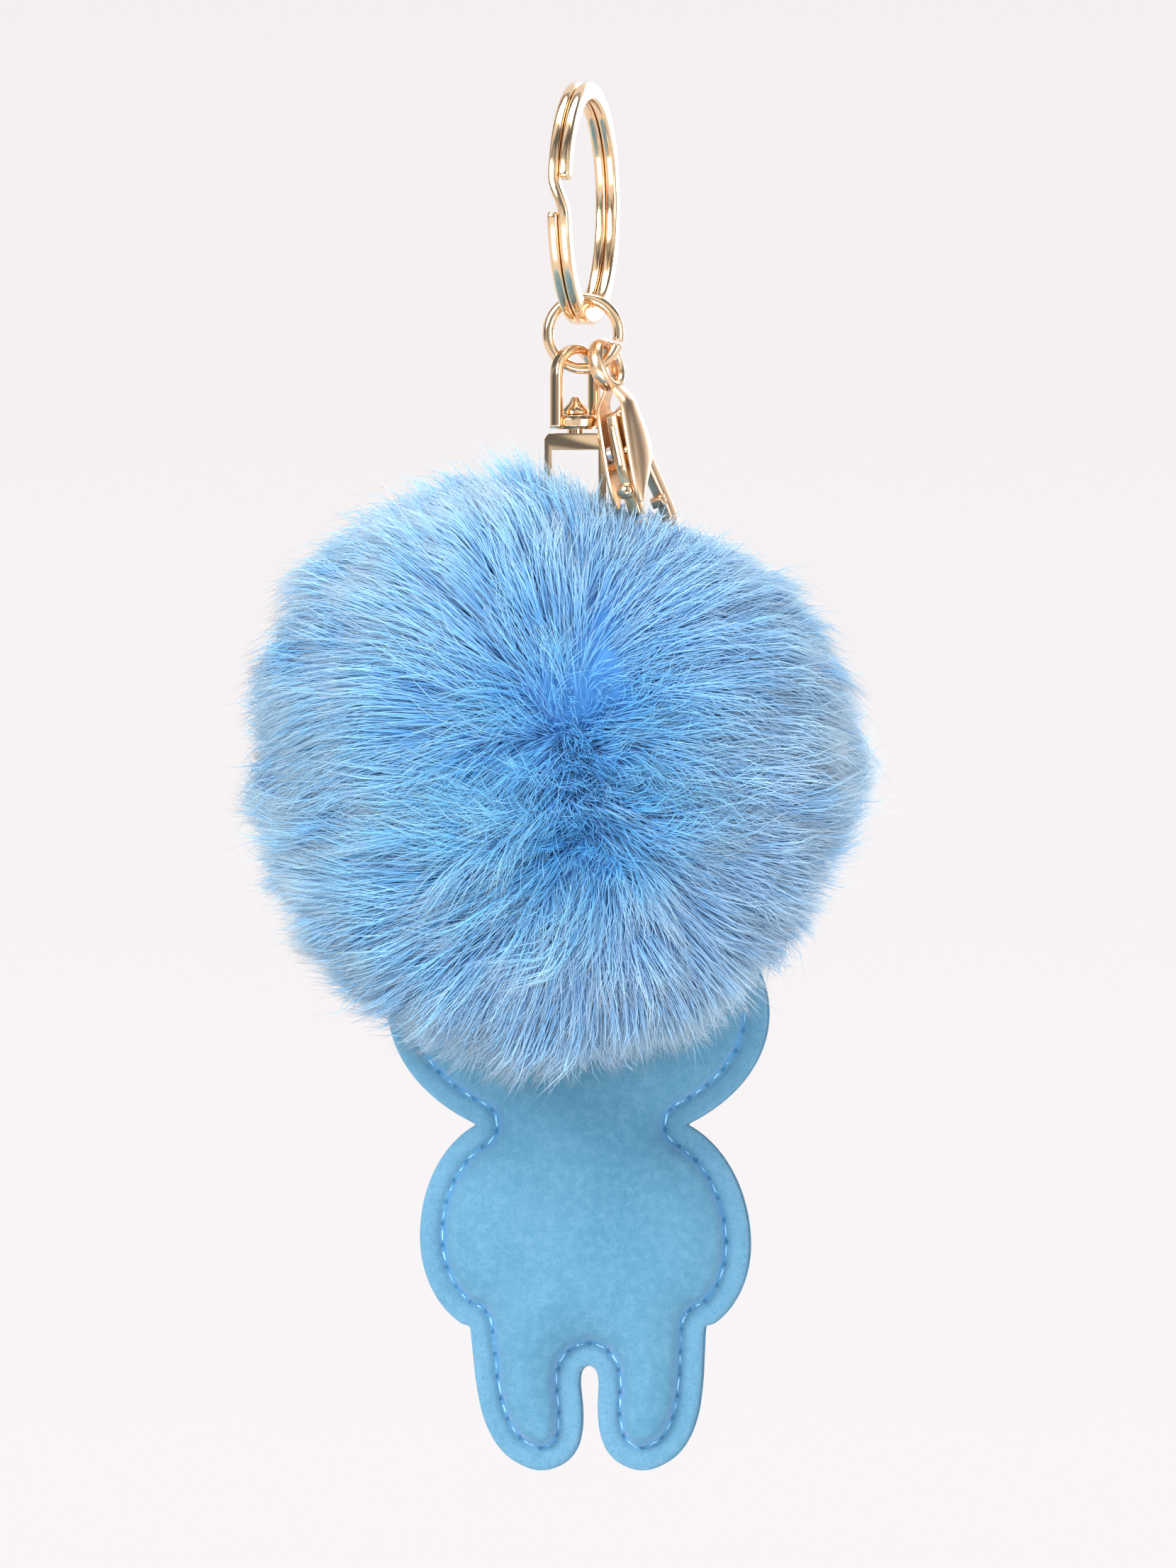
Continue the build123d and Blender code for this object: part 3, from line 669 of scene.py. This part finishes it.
def strand_mesh(name, paths, thick, tone, paleness):
    """Closed three-sided hairs. Each ring of three points lies round its path point, as wide as the
    hair is there, and the last point is the tip. The UV map holds tone across, and up it the way
    from root to tip times the hair's paleness."""
    n, k = len(paths), paths.shape[1]
    along = np.gradient(paths, axis=1)
    along /= np.linalg.norm(along, axis=2)[..., None] + 1e-12
    away = paths - ball_centre
    side = np.cross(along, away)
    side /= np.linalg.norm(side, axis=2)[..., None] + 1e-12
    up = np.cross(side, along)
    taper = np.array([0.8, 1.0, 0.7])[None, :] * thick[:, None]
    around = np.radians([90, 210, 330])
    ring = np.cos(around)[:, None, None, None] * side[None] + np.sin(around)[:, None, None, None] * up[None]
    rings = paths[None, :, :-1] + ring[:, :, :-1] * taper[None, :, :, None]
    points = np.concatenate([rings.transpose(1, 2, 0, 3).reshape(n, -1, 3), paths[:, -1:]], 1)
    per = 3 * (k - 1) + 1
    quads = grid_faces(k - 1, 3, wrap_columns=True)
    j = np.arange(3)
    tip = np.stack([3 * (k - 2) + j, 3 * (k - 2) + (j + 1) % 3, np.full(3, per - 1)], 1)
    cap = np.array([[2, 1, 0]])
    base = (np.arange(n) * per)[:, None, None]
    all_quads = (quads[None] + base).reshape(-1, 4)
    all_tris = (np.vstack([tip, cap])[None] + base).reshape(-1, 3)
    piece = new_piece(name, points.reshape(-1, 3), [all_quads, all_tris])
    width = 0.0035
    quad_u = np.array([[c, c + 1, c + 1, c] for _ in range(k - 2) for c in range(3)])
    quad_v = np.array([[r, r, r + 1, r + 1] for r in range(k - 2) for _ in range(3)]) / (k - 1)
    tip_u = np.array([[c, c + 1, c + 0.5] for c in range(3)])
    tip_v = np.array([[(k - 2) / (k - 1)] * 2 + [1.0]] * 3)
    cap_u = np.array([[3.0, 1.5, 0.0]])
    cap_v = np.array([[0.0, 0.02, 0.0]])
    u_quads = tone[:, None, None] + width * quad_u[None]
    v_quads = paleness[:, None, None] * quad_v[None]
    u_tris = tone[:, None, None] + width * np.vstack([tip_u, cap_u])[None]
    v_tris = paleness[:, None, None] * np.vstack([tip_v, cap_v])[None]
    uv = np.stack(
        [np.concatenate([u_quads.ravel(), u_tris.ravel()]), np.concatenate([v_quads.ravel(), v_tris.ravel()])], 1
    )
    layer = piece.data.uv_layers.new(name="OFBake")
    layer.data.foreach_set("uv", (0.004 + 0.992 * uv).astype(np.float32).ravel())
    return piece


def fur_material(name):
    """Faux fur: the hair's UV map runs root to tip upwards and from the blue to the lavender tone across."""
    material = bpy.data.materials.new(name)
    material.use_nodes = True
    nodes, link = material.node_tree.nodes, material.node_tree.links.new
    shader = nodes["Principled BSDF"]
    shader.inputs["Roughness"].default_value = 0.55
    shader.inputs["Specular IOR Level"].default_value = 0.35
    shader.inputs["Sheen Weight"].default_value = 0.35
    shader.inputs["Sheen Roughness"].default_value = 0.4
    uv = added(nodes, "UVMap", uv_map="OFBake")
    split = added(nodes, "SeparateXYZ", Vector=uv.outputs["UV"])
    blue = ((0.02, 0.24, 0.62), (0.045, 0.38, 0.79), (0.16, 0.56, 0.85), (0.4, 0.77, 0.93))
    lavender = ((0.09, 0.32, 0.68), (0.26, 0.57, 0.91), (0.55, 0.79, 0.97), (0.84, 0.94, 1.0))
    ramps = []
    for colours in (blue, lavender):
        ramp = added(nodes, "ValToRGB", Fac=split.outputs["Y"])
        elements = ramp.color_ramp.elements
        elements[0].color, elements[1].color = (*colours[0], 1), (*colours[3], 1)
        for position, colour in zip((0.4, 0.75), colours[1:3]):
            elements.new(position).color = (*colour, 1)
        ramps.append(ramp.outputs["Color"])
    mixed = added(nodes, "Mix", data_type="RGBA", Factor=split.outputs["X"], A=ramps[0], B=ramps[1])
    link(mixed.outputs["Result"], shader.inputs["Base Color"])
    return material


fur = fur_material("blue_faux_fur")
tips = strands[:, -1] - ball_centre
tip_way = tips / np.linalg.norm(tips, axis=1)[:, None]
# Painted light and shade in the hair's tone: it is made paler round the rim, on the top and on the right, where
# light falls on it and shines through it, and its tips stay darker in the middle front, shade deep in the pile. The
# lavender low on the right and the lock and random tones are the fur's own.
low_right = smooth_step((0.55 * tip_way[:, 0] - 0.95 * tip_way[:, 2] - 0.25) / 0.8)
rim = smooth_step((np.hypot(tip_way[:, 0], tip_way[:, 2]) - 0.45) / 0.55)
high = smooth_step((tip_way[:, 2] - 0.25) / 0.6) * rim
middle_shade = np.exp(-((np.hypot(tip_way[:, 0] - 0.1, 0.75 * (tip_way[:, 2] + 0.06)) / 0.3) ** 2))
right = smooth_step((tip_way[:, 0] - 0.45) / 0.5)
tone = 0.06 + 0.44 * rim + 0.3 * low_right * rim + 0.2 * high + 0.3 * right + 0.07 * lock_tone[own_lock]
tone += chance.normal(0, 0.1, count)
paleness = 0.95 - 0.38 * middle_shade + 0.07 * lock_tone[own_lock] + chance.normal(0, 0.03, count)
paleness = np.clip(paleness, 0.45, 1)
tone = np.clip(tone, 0.02, 0.97)
thick = chance.uniform(0.06, 0.1, count) * MM
sector = np.argsort(np.argsort(alpha + 0.01 * chance.random(count))) // strands_per_piece
for index in range(strand_pieces):
    chosen = sector == index
    locks = strand_mesh(f"Fur_locks_{index + 1}", strands[chosen], thick[chosen], tone[chosen], paleness[chosen])
    finished(locks, fur, "ball", "blue_fur", *(["fur_pile"] if index == 0 else []))

# Short dense undercoat under the locks, lower at the parting. Its dark blue is partly the hair's own root colour and
# partly painted shade deep in the pile.
rows, columns = 120, 200
grid_theta = np.linspace(0.02, math.pi - 0.02, rows)[:, None] * np.ones((1, columns))
grid_alpha = np.linspace(0, 2 * math.pi, columns, endpoint=False)[None, :] * np.ones((rows, 1))
way = ball_way(grid_theta, grid_alpha)
lumps = 0.9 * soft_noise(way.reshape(-1, 3), 11, 9.0).reshape(rows, columns)
fine = 0.5 * soft_noise(way.reshape(-1, 3), 12, 34.0).reshape(rows, columns)
radius = (29.6 - 3.0 * np.exp(-((grid_theta / 0.35) ** 2)) + lumps * 0.5 + fine * 0.4) * MM
points = clear_of_head(ball_centre + radius[..., None] * way).reshape(-1, 3)
poles = clear_of_head(ball_centre + np.array([[26.6], [29.6]]) * MM * np.array([parting, -parting]))
points = np.vstack([points, poles])
j = np.arange(columns)
last = (rows - 1) * columns
caps = [
    np.stack([np.full(columns, len(points) - 2), j, (j + 1) % columns], 1),
    np.stack([np.full(columns, len(points) - 1), last + (j + 1) % columns, last + j], 1),
]
undercoat = new_piece("Fur_undercoat", points, [grid_faces(rows, columns, wrap_columns=True)] + caps)
recalculate(undercoat)
undercoat_with_shade = cloth("fur_undercoat_and_shade", (0.02, 0.14, 0.4), (0.05, 0.24, 0.56), 420, bump=0.0006)
finished(undercoat, undercoat_with_shade, "ball", "blue_fur")

# ---- doll ----
# Two layers of faux suede sewn face to face round the edge and stuffed. The seam runs a little
# inside the cut edge, so a flat flange stands round the swollen middle.
doll_axis = (doll_low[0] + doll_high[0]) / 2
doll_middle = doll_high[1]
head_z = doll_high[2] - 17.3 * MM
neck_z = head_z - 14.5 * MM
belly_z = neck_z - 14.6 * MM
hip_z = neck_z - 25.3 * MM


def even_steps(points, count):
    """Closed curve through the points, resampled at equal steps of its length. Also gives that length."""
    loop = np.vstack([points, points[:1]])
    run = np.concatenate([[0], np.cumsum(np.linalg.norm(np.diff(loop, axis=0), axis=1))])
    at = np.linspace(0, run[-1], count, endpoint=False)
    return np.stack([np.interp(at, run, loop[:, k]) for k in range(2)], 1), run[-1]


def eased(curve, reach, spread):
    """Closed curve averaged along itself: each point becomes the mean of its neighbours within
    reach, weighted by a bell curve of the given spread."""
    shifts = range(-reach, reach + 1)
    weights = np.exp(-0.5 * (np.array(shifts) / spread) ** 2)
    weights /= weights.sum()
    return sum(w * np.roll(curve, k, axis=0) for w, k in zip(weights, shifts))


# Right half of the outline, down from the top of the head: an oval head, a rounded arm that is
# widest low down, and a short leg with a rounded foot. The left half mirrors it.
angle = np.linspace(math.pi / 2, -math.asin(14.5 / 17.3), 90)
head_curve = np.stack([24 * np.cos(angle) * MM, head_z + 17.3 * np.sin(angle) * MM], 1)
angle = np.linspace(1.165, -1.03, 80)
arm_x = 8.5 + 12.3 * np.cos(angle) ** np.where(angle < 0, 0.82, 1.0)
arm_z = np.where(angle > 0, 15.9, 12.46) * np.sin(angle)
arm_curve = np.stack([arm_x * MM, belly_z + arm_z * MM], 1)
leg_points = [
    (14.8, 0.0),
    (14.5, -4.0),
    (14.2, -7.5),
    (13.5, -11.4),
    (12.1, -14.7),
    (10.0, -17.0),
    (6.7, -18.4),
    (3.8, -17.6),
    (2.0, -15.8),
    (1.2, -13.3),
    (1.05, -10.5),
    (1.25, -7.3),
    (0.95, -5.6),
    (0.0, -5.0),
]
leg_curve = rounded_run(np.array(leg_points), 12) * MM + [0, hip_z]
right_half = np.vstack([head_curve, arm_curve, leg_curve])
left_half = right_half[-2:0:-1] * [-1, 1]
outline_steps = 1800
outline, _ = even_steps(np.vstack([right_half, left_half]), outline_steps)
outline = eased(outline, 8, 2.6)

# Each point of the outline has a partner on the doll's middle line. That line runs down from the
# head to the hips, where it forks to both feet, and each leg's two sides share the same points.
half = np.arange(901)
notch = 300 + outline[300:600, 0].argmin()
foot = 6 * (outline[:900, 1].argmin() // 6)
fork = 2 * foot - 900
along = np.where(half <= foot, half, 2 * foot - half)
top, hips, sole = doll_high[2] - 7.5 * MM, hip_z + 2.6 * MM, hip_z - 11 * MM
knee = fork + 0.16 * (foot - fork)
spine_x = np.interp(along, [0, fork, knee, foot], [0, 0, 6.4 * MM, 6.7 * MM])
spine_z = np.interp(
    along,
    [0, 0.5 * notch, notch, fork, knee, foot],
    [top, head_z, neck_z, hips, hip_z - 3 * MM, sole],
)
spine = np.stack([spine_x, spine_z], 1)
spine = np.vstack([spine, spine[-2:0:-1] * [-1, 1]])
outline[:, 0] += doll_axis
spine[:, 0] += doll_axis
# The doll hangs a little aslant, its head to the left and its feet to the right.
for line in (outline, spine):
    line[:, 0] -= 0.0295 * (line[:, 1] - (hip_z + 2 * MM))


def nearest(points, curve):
    """Distance from each point to the nearest point of a curve, and that point's number."""
    distance, number = np.empty(len(points)), np.empty(len(points), int)
    for start in range(0, len(points), 4000):
        part = points[start : start + 4000]
        square = ((part[:, None, :] - curve[None]) ** 2).sum(2)
        number[start : start + 4000] = square.argmin(1)
        distance[start : start + 4000] = np.sqrt(square.min(1))
    return distance, number


tangent = np.roll(outline, -1, axis=0) - np.roll(outline, 1, axis=0)
tangent /= np.linalg.norm(tangent, axis=1)[:, None]
inward = np.stack([tangent[:, 1], -tangent[:, 0]], 1)
seam_margin = 2.9 * MM
seam_curve, seam_length = even_steps(outline + seam_margin * inward, outline_steps)
seam_curve = eased(seam_curve, 12, 5.0)
stitch_count = round(seam_length / (2.8 * MM))

suede_thickness = 1.25 * MM
puff_height = 4.75 * MM


def stuffed_swell(distance):
    """Height of the stuffed middle over the flange: a rounded shoulder that levels out."""
    rise = np.clip((distance - seam_margin) / (6.6 * MM), 0, 1)
    return (puff_height - suede_thickness) * (1 - (1 - rise) ** 2) ** 0.55


# The swell away from the seam is averaged over a few millimetres, as stuffing fills a cover.
swell_step = 0.35 * MM
swell_low = outline.min(0) - 2 * MM
swell_x, swell_z = (np.arange(swell_low[k], outline[:, k].max() + 2 * MM, swell_step) for k in range(2))
swell_plan = np.stack(np.meshgrid(swell_x, swell_z, indexing="ij"), 2).reshape(-1, 2)
swell_distance, swell_number = nearest(swell_plan, outline)
is_inside = ((swell_plan - outline[swell_number]) * inward[swell_number]).sum(1) > 0
swell_field = np.where(is_inside, stuffed_swell(swell_distance), 0).reshape(len(swell_x), len(swell_z))
for axis, places in ((0, swell_x), (1, swell_z)):
    kernel = np.exp(-0.5 * ((places[:, None] - places[None]) / (1.5 * MM)) ** 2)
    kernel /= kernel.sum(1)[:, None]
    swell_field = kernel @ swell_field if axis == 0 else swell_field @ kernel.T


def averaged_swell(plan):
    """Bilinear value of the averaged swell at points of the plan."""
    at = (plan - swell_low) / swell_step
    cell = np.clip(at.astype(int), 0, np.array(swell_field.shape) - 2)
    part = at - cell
    i, j = cell[:, 0], cell[:, 1]
    low = swell_field[i, j] * (1 - part[:, 1]) + swell_field[i, j + 1] * part[:, 1]
    high = swell_field[i + 1, j] * (1 - part[:, 1]) + swell_field[i + 1, j + 1] * part[:, 1]
    return low * (1 - part[:, 0]) + high * part[:, 0]


def suede_height(distance, plan):
    """Height of a panel's face over the middle plane: flat on the flange, a dip at the seam, then
    the swell, which turns from its exact shape at the seam to its average further in."""
    inner = smooth_step((distance - 3.6 * MM) / (2.2 * MM))
    swell = stuffed_swell(distance) * (1 - inner) + averaged_swell(plan) * inner
    dip = 0.5 * MM * np.exp(-(((distance - seam_margin) / (0.6 * MM)) ** 2))
    edge = 0.42 * MM * np.exp(-distance / (0.28 * MM))
    return suede_thickness + swell - dip - edge


def doll_layer(name, side, shift, height_out, height_in, rings=40, skip=3):
    """Closed shell over the doll's outline: rings of points run from the outline in to the spine,
    with one height on the outer face and another on the inner face, joined round the edge."""
    step = (np.linspace(0, 1, rings) ** 1.35)[:, None, None]
    flat = outline[None, ::skip] * (1 - step) + spine[None, ::skip] * step
    columns = flat.shape[1]
    plan = flat.reshape(-1, 2)
    distance, _ = nearest(plan, outline)
    distance[:columns] = 0
    _, number = nearest(plan, seam_curve)
    place = np.stack([plan[:, 0], np.zeros(len(plan)), plan[:, 1]], 1)
    wrinkle = 0.16 * MM * soft_noise(place, 21 + side, 180) * smooth_step((distance - 3.5 * MM) / (4 * MM))
    height = suede_height(distance, plan) + wrinkle
    outer = doll_middle + side * height_out(height)
    inner = doll_middle + side * height_in(height)
    x = plan[:, 0] + shift
    points = np.vstack([np.stack([x, outer, plan[:, 1]], 1), np.stack([x, inner, plan[:, 1]], 1)])
    face = grid_faces(rings, columns, wrap_columns=True)
    c = np.arange(columns)
    rim = np.stack([c, (c + 1) % columns, rings * columns + (c + 1) % columns, rings * columns + c], 1)
    piece = new_piece(name, points, [face, face[:, ::-1] + rings * columns, rim])
    uv = np.stack([number / outline_steps * stitch_count, distance / MM], 1)
    uv = np.vstack([uv, uv * [1, 0]])
    layer = piece.data.uv_layers.new(name="seam")
    loops = np.empty(len(piece.data.loops), np.int32)
    piece.data.loops.foreach_get("vertex_index", loops)
    corner = uv[loops].reshape(-1, 4, 2)
    corner[..., 0] += np.where(corner[:, :1, 0] - corner[..., 0] > stitch_count / 2, stitch_count, 0)
    corner[..., 0] -= np.where(corner[..., 0] - corner[:, :1, 0] > stitch_count / 2, stitch_count, 0)
    layer.data.foreach_set("uv", corner.astype(np.float32).ravel())
    recalculate(piece, weld=0.008 * MM)
    return piece


def suede_material():
    """Faux suede: mottled nap in two sizes, a deeper tone on the flange, a deeper blue along the seam
    that is painted shade of its fold, and painted shade in a needle hole at both ends of every stitch, placed by the
    seam's own map."""
    material = bpy.data.materials.new("blue_faux_suede")
    material.use_nodes = True
    nodes, link = material.node_tree.nodes, material.node_tree.links.new
    shader = nodes["Principled BSDF"]
    shader.inputs["Roughness"].default_value = 0.92
    shader.inputs["Specular IOR Level"].default_value = 0.2
    shader.inputs["Sheen Weight"].default_value = 0.45
    shader.inputs["Sheen Roughness"].default_value = 0.45

    place = added(nodes, "TexCoord").outputs["Object"]

    def noise(scale, detail):
        """Noise of one scale on the object's own coordinates."""
        return added(nodes, "TexNoise", Scale=scale, Detail=detail, Vector=place).outputs["Fac"]

    def maths(operation, *values):
        """One arithmetic node: the operation on up to three values."""
        sockets = {f"_{k}": value for k, value in enumerate(values)}
        return added(nodes, "Math", operation=operation, **sockets).outputs[0]

    def band(value, low, high):
        """0 below low, 1 above high, and 3x^2 - 2x^3 between."""
        limits = {"From_Min": low, "From_Max": high}
        return added(nodes, "MapRange", interpolation_type="SMOOTHSTEP", Value=value, **limits).outputs["Result"]

    def mixed(factor, first, second):
        """(1 - factor) * first + factor * second."""
        return added(nodes, "Mix", data_type="RGBA", Factor=factor, A=first, B=second).outputs["Result"]

    uv = added(nodes, "UVMap", uv_map="seam")
    split = added(nodes, "SeparateXYZ", Vector=uv.outputs["UV"])
    along, inside = split.outputs["X"], split.outputs["Y"]
    broad, nap, grain = noise(75, 4), noise(900, 4), noise(3200, 3)
    body = mixed(band(broad, 0.3, 0.72), (0.074, 0.222, 0.332), (0.1, 0.258, 0.372))
    flange = mixed(band(broad, 0.3, 0.7), (0.1, 0.255, 0.372), (0.125, 0.285, 0.41))
    tone = mixed(band(inside, 2.5, 3.3), flange, body)
    tone = mixed(maths("MULTIPLY", band(nap, 0.35, 0.75), 0.28), tone, (0.18, 0.38, 0.52))
    tone = mixed(maths("MULTIPLY", band(grain, 0.45, 0.72), 0.34), tone, (0.03, 0.16, 0.29))
    # Painted shade: a deeper blue along the seam's fold, where the stitches pull the suede in.
    crease_shade = maths("SUBTRACT", 1.0, band(maths("ABSOLUTE", maths("SUBTRACT", inside, 3.05)), 0.0, 0.75))
    tone = mixed(maths("MULTIPLY", crease_shade, 0.55), tone, (0.04, 0.24, 0.52))
    # Painted shade: a dark spot in each needle hole at both ends of a stitch; the bump also sinks it.
    phase = maths("ABSOLUTE", maths("SUBTRACT", maths("FRACT", along), 0.5))
    beside = maths("MULTIPLY", maths("SUBTRACT", 0.5, phase), 2.8)
    across = maths("SUBTRACT", inside, 2.9)
    spread = maths("SQRT", maths("ADD", maths("MULTIPLY", beside, beside), maths("MULTIPLY", across, across)))
    hole = maths("SUBTRACT", 1.0, band(spread, 0.14, 0.42))
    tone = mixed(maths("MULTIPLY", hole, 0.7), tone, (0.02, 0.15, 0.32))
    link(tone, shader.inputs["Base Color"])
    height = maths("MULTIPLY_ADD", nap, 0.6, maths("MULTIPLY", grain, 0.4))
    height = maths("SUBTRACT", height, maths("MULTIPLY", hole, 2.0))
    lift = added(nodes, "Bump", Strength=0.6, Distance=0.00012, Height=height)
    link(lift.outputs["Normal"], shader.inputs["Normal"])
    return material


suede = suede_material()
for name, side, shift, node in (
    ("Doll_front_panel", -1, 0.0, "doll_front_panel"),
    ("Doll_back_panel", 1, 0.3 * MM, "doll_back_panel"),
):
    panel = doll_layer(name, side, shift, lambda h: h, lambda h: np.maximum(h - 1.18 * MM, 0.02 * MM))
    finished(panel, suede, "doll", "blue_suede", node)
stuffing = doll_layer(
    "Doll_stuffing",
    -1,
    0.0,
    lambda h: np.maximum(h - 1.22 * MM, 0.01 * MM),
    lambda h: -np.maximum(h - 1.22 * MM, 0.01 * MM),
    rings=20,
    skip=6,
)
finished(stuffing, filling, "doll", "stuffing", "doll_stuffing")
dress(white_tape, "tack_thread")

# ---- seam threads ----
# Pale blue polyester thread. Each stitch shows as a short raised bar between two needle holes.


def stitches(name, side, shift):
    """One bar for each stitch: an eight-sided capsule, fat in the middle and sunk at both ends."""
    chance = np.random.default_rng(31 + side)
    middle_at = (np.arange(stitch_count) + 0.5) / stitch_count * outline_steps
    number = middle_at.astype(int)
    centre = seam_curve[number]
    way = seam_curve[(number + 6) % outline_steps] - seam_curve[number - 6]
    way /= np.linalg.norm(way, axis=1)[:, None]
    lean = chance.normal(0, 0.07, stitch_count)
    way = np.stack(
        [way[:, 0] * np.cos(lean) - way[:, 1] * np.sin(lean), way[:, 0] * np.sin(lean) + way[:, 1] * np.cos(lean)], 1
    )
    along = np.linspace(-1, 1, 7)
    width = 0.15 * MM * np.sqrt(np.clip(1.06 - along**2, 0, 1))
    length = (1.0 * MM * chance.uniform(0.8, 1.08, stitch_count))[:, None]
    depth = suede_thickness - 0.4 * MM - 0.3 * MM * along**4
    angle = np.linspace(0, 2 * math.pi, 8, endpoint=False)
    across = np.stack([-way[:, 1], way[:, 0]], 1)
    x, z = (
        centre[:, k, None, None]
        + (length * along)[..., None] * way[:, k, None, None]
        + width[None, :, None] * np.cos(angle) * across[:, k, None, None]
        for k in range(2)
    )
    y = doll_middle + side * (depth[None, :, None] + width[None, :, None] * np.sin(angle))
    y = np.broadcast_to(y, x.shape)
    points = np.stack([x + shift, y, z], 3).reshape(stitch_count, -1, 3)
    rings, sides = len(along), len(angle)
    per = rings * sides
    quads = grid_faces(rings, sides, wrap_columns=True)
    ends = np.array([np.arange(sides)[::-1], per - sides + np.arange(sides)])
    base = (np.arange(stitch_count) * per)[:, None, None]
    faces = [(quads[None] + base).reshape(-1, 4), (ends[None] + base).reshape(-1, sides)]
    piece = new_piece(name, points.reshape(-1, 3), faces)
    recalculate(piece)
    return piece


thread = cloth("seam_thread", (0.42, 0.7, 0.85), (0.2, 0.5, 0.74), 5200, sheen=0.2, bump=0.00003)
for name, side, shift, node in (
    ("Seam_thread_front", -1, 0.0, "seam_thread_front"),
    ("Seam_thread_back", 1, 0.3 * MM, "seam_thread_back"),
):
    seam = stitches(name, side, shift)
    finished(seam, thread, "doll", "seam_thread", node)

# ---- stage, lights and camera ----
# Seamless pale paper behind and far below the hanging keychain, under large soft lamps.
bend = np.linspace(0, math.pi / 2, 16)
sweep_y = np.concatenate([np.linspace(-6.0, 4.5, 12), 5.0 + 0.8 * np.sin(bend), [5.8]])
sweep_z = np.concatenate([np.full(12, -1.3), -1.3 + 0.8 * (1 - np.cos(bend)), [7.0]])
sweep_x = np.array([-7.0, 7.0])
points = np.stack(
    [
        np.broadcast_to(sweep_x, (len(sweep_y), 2)),
        np.broadcast_to(sweep_y[:, None], (len(sweep_y), 2)),
        np.broadcast_to(sweep_z[:, None], (len(sweep_y), 2)),
    ],
    2,
).reshape(-1, 3)
paper = new_piece("Backdrop_paper", points, [grid_faces(len(sweep_y), 2)])
material = bpy.data.materials.new("backdrop_paper")
material.use_nodes = True
nodes, link = material.node_tree.nodes, material.node_tree.links.new
matte = nodes["Principled BSDF"]
matte.inputs["Base Color"].default_value = (0.86, 0.85, 0.87, 1)
matte.inputs["Roughness"].default_value = 0.9
# Painted light: to the camera and in reflections the paper is a glow of its lit colour, a little lighter towards the
# bottom, in place of lamplight falling on it; other rays see the matte paper.
height = added(nodes, "SeparateXYZ", Vector=added(nodes, "TexCoord").outputs["Object"]).outputs["Z"]
fade = added(nodes, "MapRange", From_Min=-0.29, From_Max=0.156, Value=height).outputs["Result"]
blend = added(nodes, "Mix", data_type="RGBA", A=(0.955, 0.921, 0.932), B=(0.906, 0.87, 0.874), Factor=fade)
glow = added(nodes, "Emission", Color=blend.outputs["Result"])
rays = added(nodes, "LightPath")
seen, mirrored = rays.outputs["Is Camera Ray"], rays.outputs["Is Glossy Ray"]
either = added(nodes, "Math", operation="MAXIMUM", _0=seen, _1=mirrored)
mix = added(nodes, "MixShader", Fac=either.outputs[0])
link(matte.outputs["BSDF"], mix.inputs[1])
link(glow.outputs["Emission"], mix.inputs[2])
link(mix.outputs["Shader"], nodes["Material Output"].inputs["Surface"])
paper.data.materials.append(material)

world = bpy.data.worlds.new("studio")
bpy.context.scene.world = world
world.use_nodes = True
nodes, link = world.node_tree.nodes, world.node_tree.links.new
nodes["Background"].inputs["Strength"].default_value = 0.95
# Polished metal mirrors the room round the stage, with its light walls and darker openings.
direction = added(nodes, "TexCoord").outputs["Generated"]
room = added(nodes, "TexNoise", Scale=1.7, Detail=1.0, Vector=direction)
walls = added(nodes, "ValToRGB", Fac=room.outputs["Fac"])
walls.color_ramp.elements[0].position = 0.42
walls.color_ramp.elements[0].color = (0.13, 0.15, 0.18, 1)
walls.color_ramp.elements[1].position = 0.56
walls.color_ramp.elements[1].color = (1.0, 1.0, 1.0, 1)
mirrored = added(nodes, "LightPath").outputs["Is Glossy Ray"]
sky = (0.93, 0.95, 1.0)
pick = added(nodes, "Mix", data_type="RGBA", A=sky, B=walls.outputs["Color"], Factor=mirrored)
link(pick.outputs["Result"], nodes["Background"].inputs["Color"])


def soft_lamp(name, place, aim, size, power, colour=(1, 1, 1)):
    """A square soft lamp that faces a point."""
    data = bpy.data.lights.new(name, "AREA")
    data.size = size
    data.energy = power
    data.color = colour
    lamp = bpy.data.objects.new(name, data)
    lamp.location = place
    lamp.rotation_euler = (Vector(aim) - Vector(place)).to_track_quat("-Z", "Y").to_euler()
    bpy.context.scene.collection.objects.link(lamp)


aim = (0, 0, -0.09)
soft_lamp("key", (-0.6, -0.7, 0.35), aim, 0.5, 9.5)
soft_lamp("fill", (0.65, -0.6, -0.1), aim, 0.5, 2.6, (0.97, 0.98, 1.0))
soft_lamp("low", (-0.2, -0.7, -0.6), aim, 0.5, 3.5)
soft_lamp("top", (0.05, 0.1, 0.75), aim, 0.5, 4.5)
soft_lamp("back", (0.3, 0.9, 0.2), aim, 0.5, 4.5)

camera_data = bpy.data.cameras.new("camera")
camera = bpy.data.objects.new("camera", camera_data)
bpy.context.scene.collection.objects.link(camera)
reach = 4.0
seen_height = 0.1975
camera_data.lens = camera_data.sensor_width * reach / seen_height
camera_data.clip_end = 20
camera.location = (0.0006, -reach, -0.0861)
camera.rotation_euler = (math.pi / 2, 0, 0)
bpy.context.scene.camera = camera
bpy.context.scene.view_settings.view_transform = "Standard"
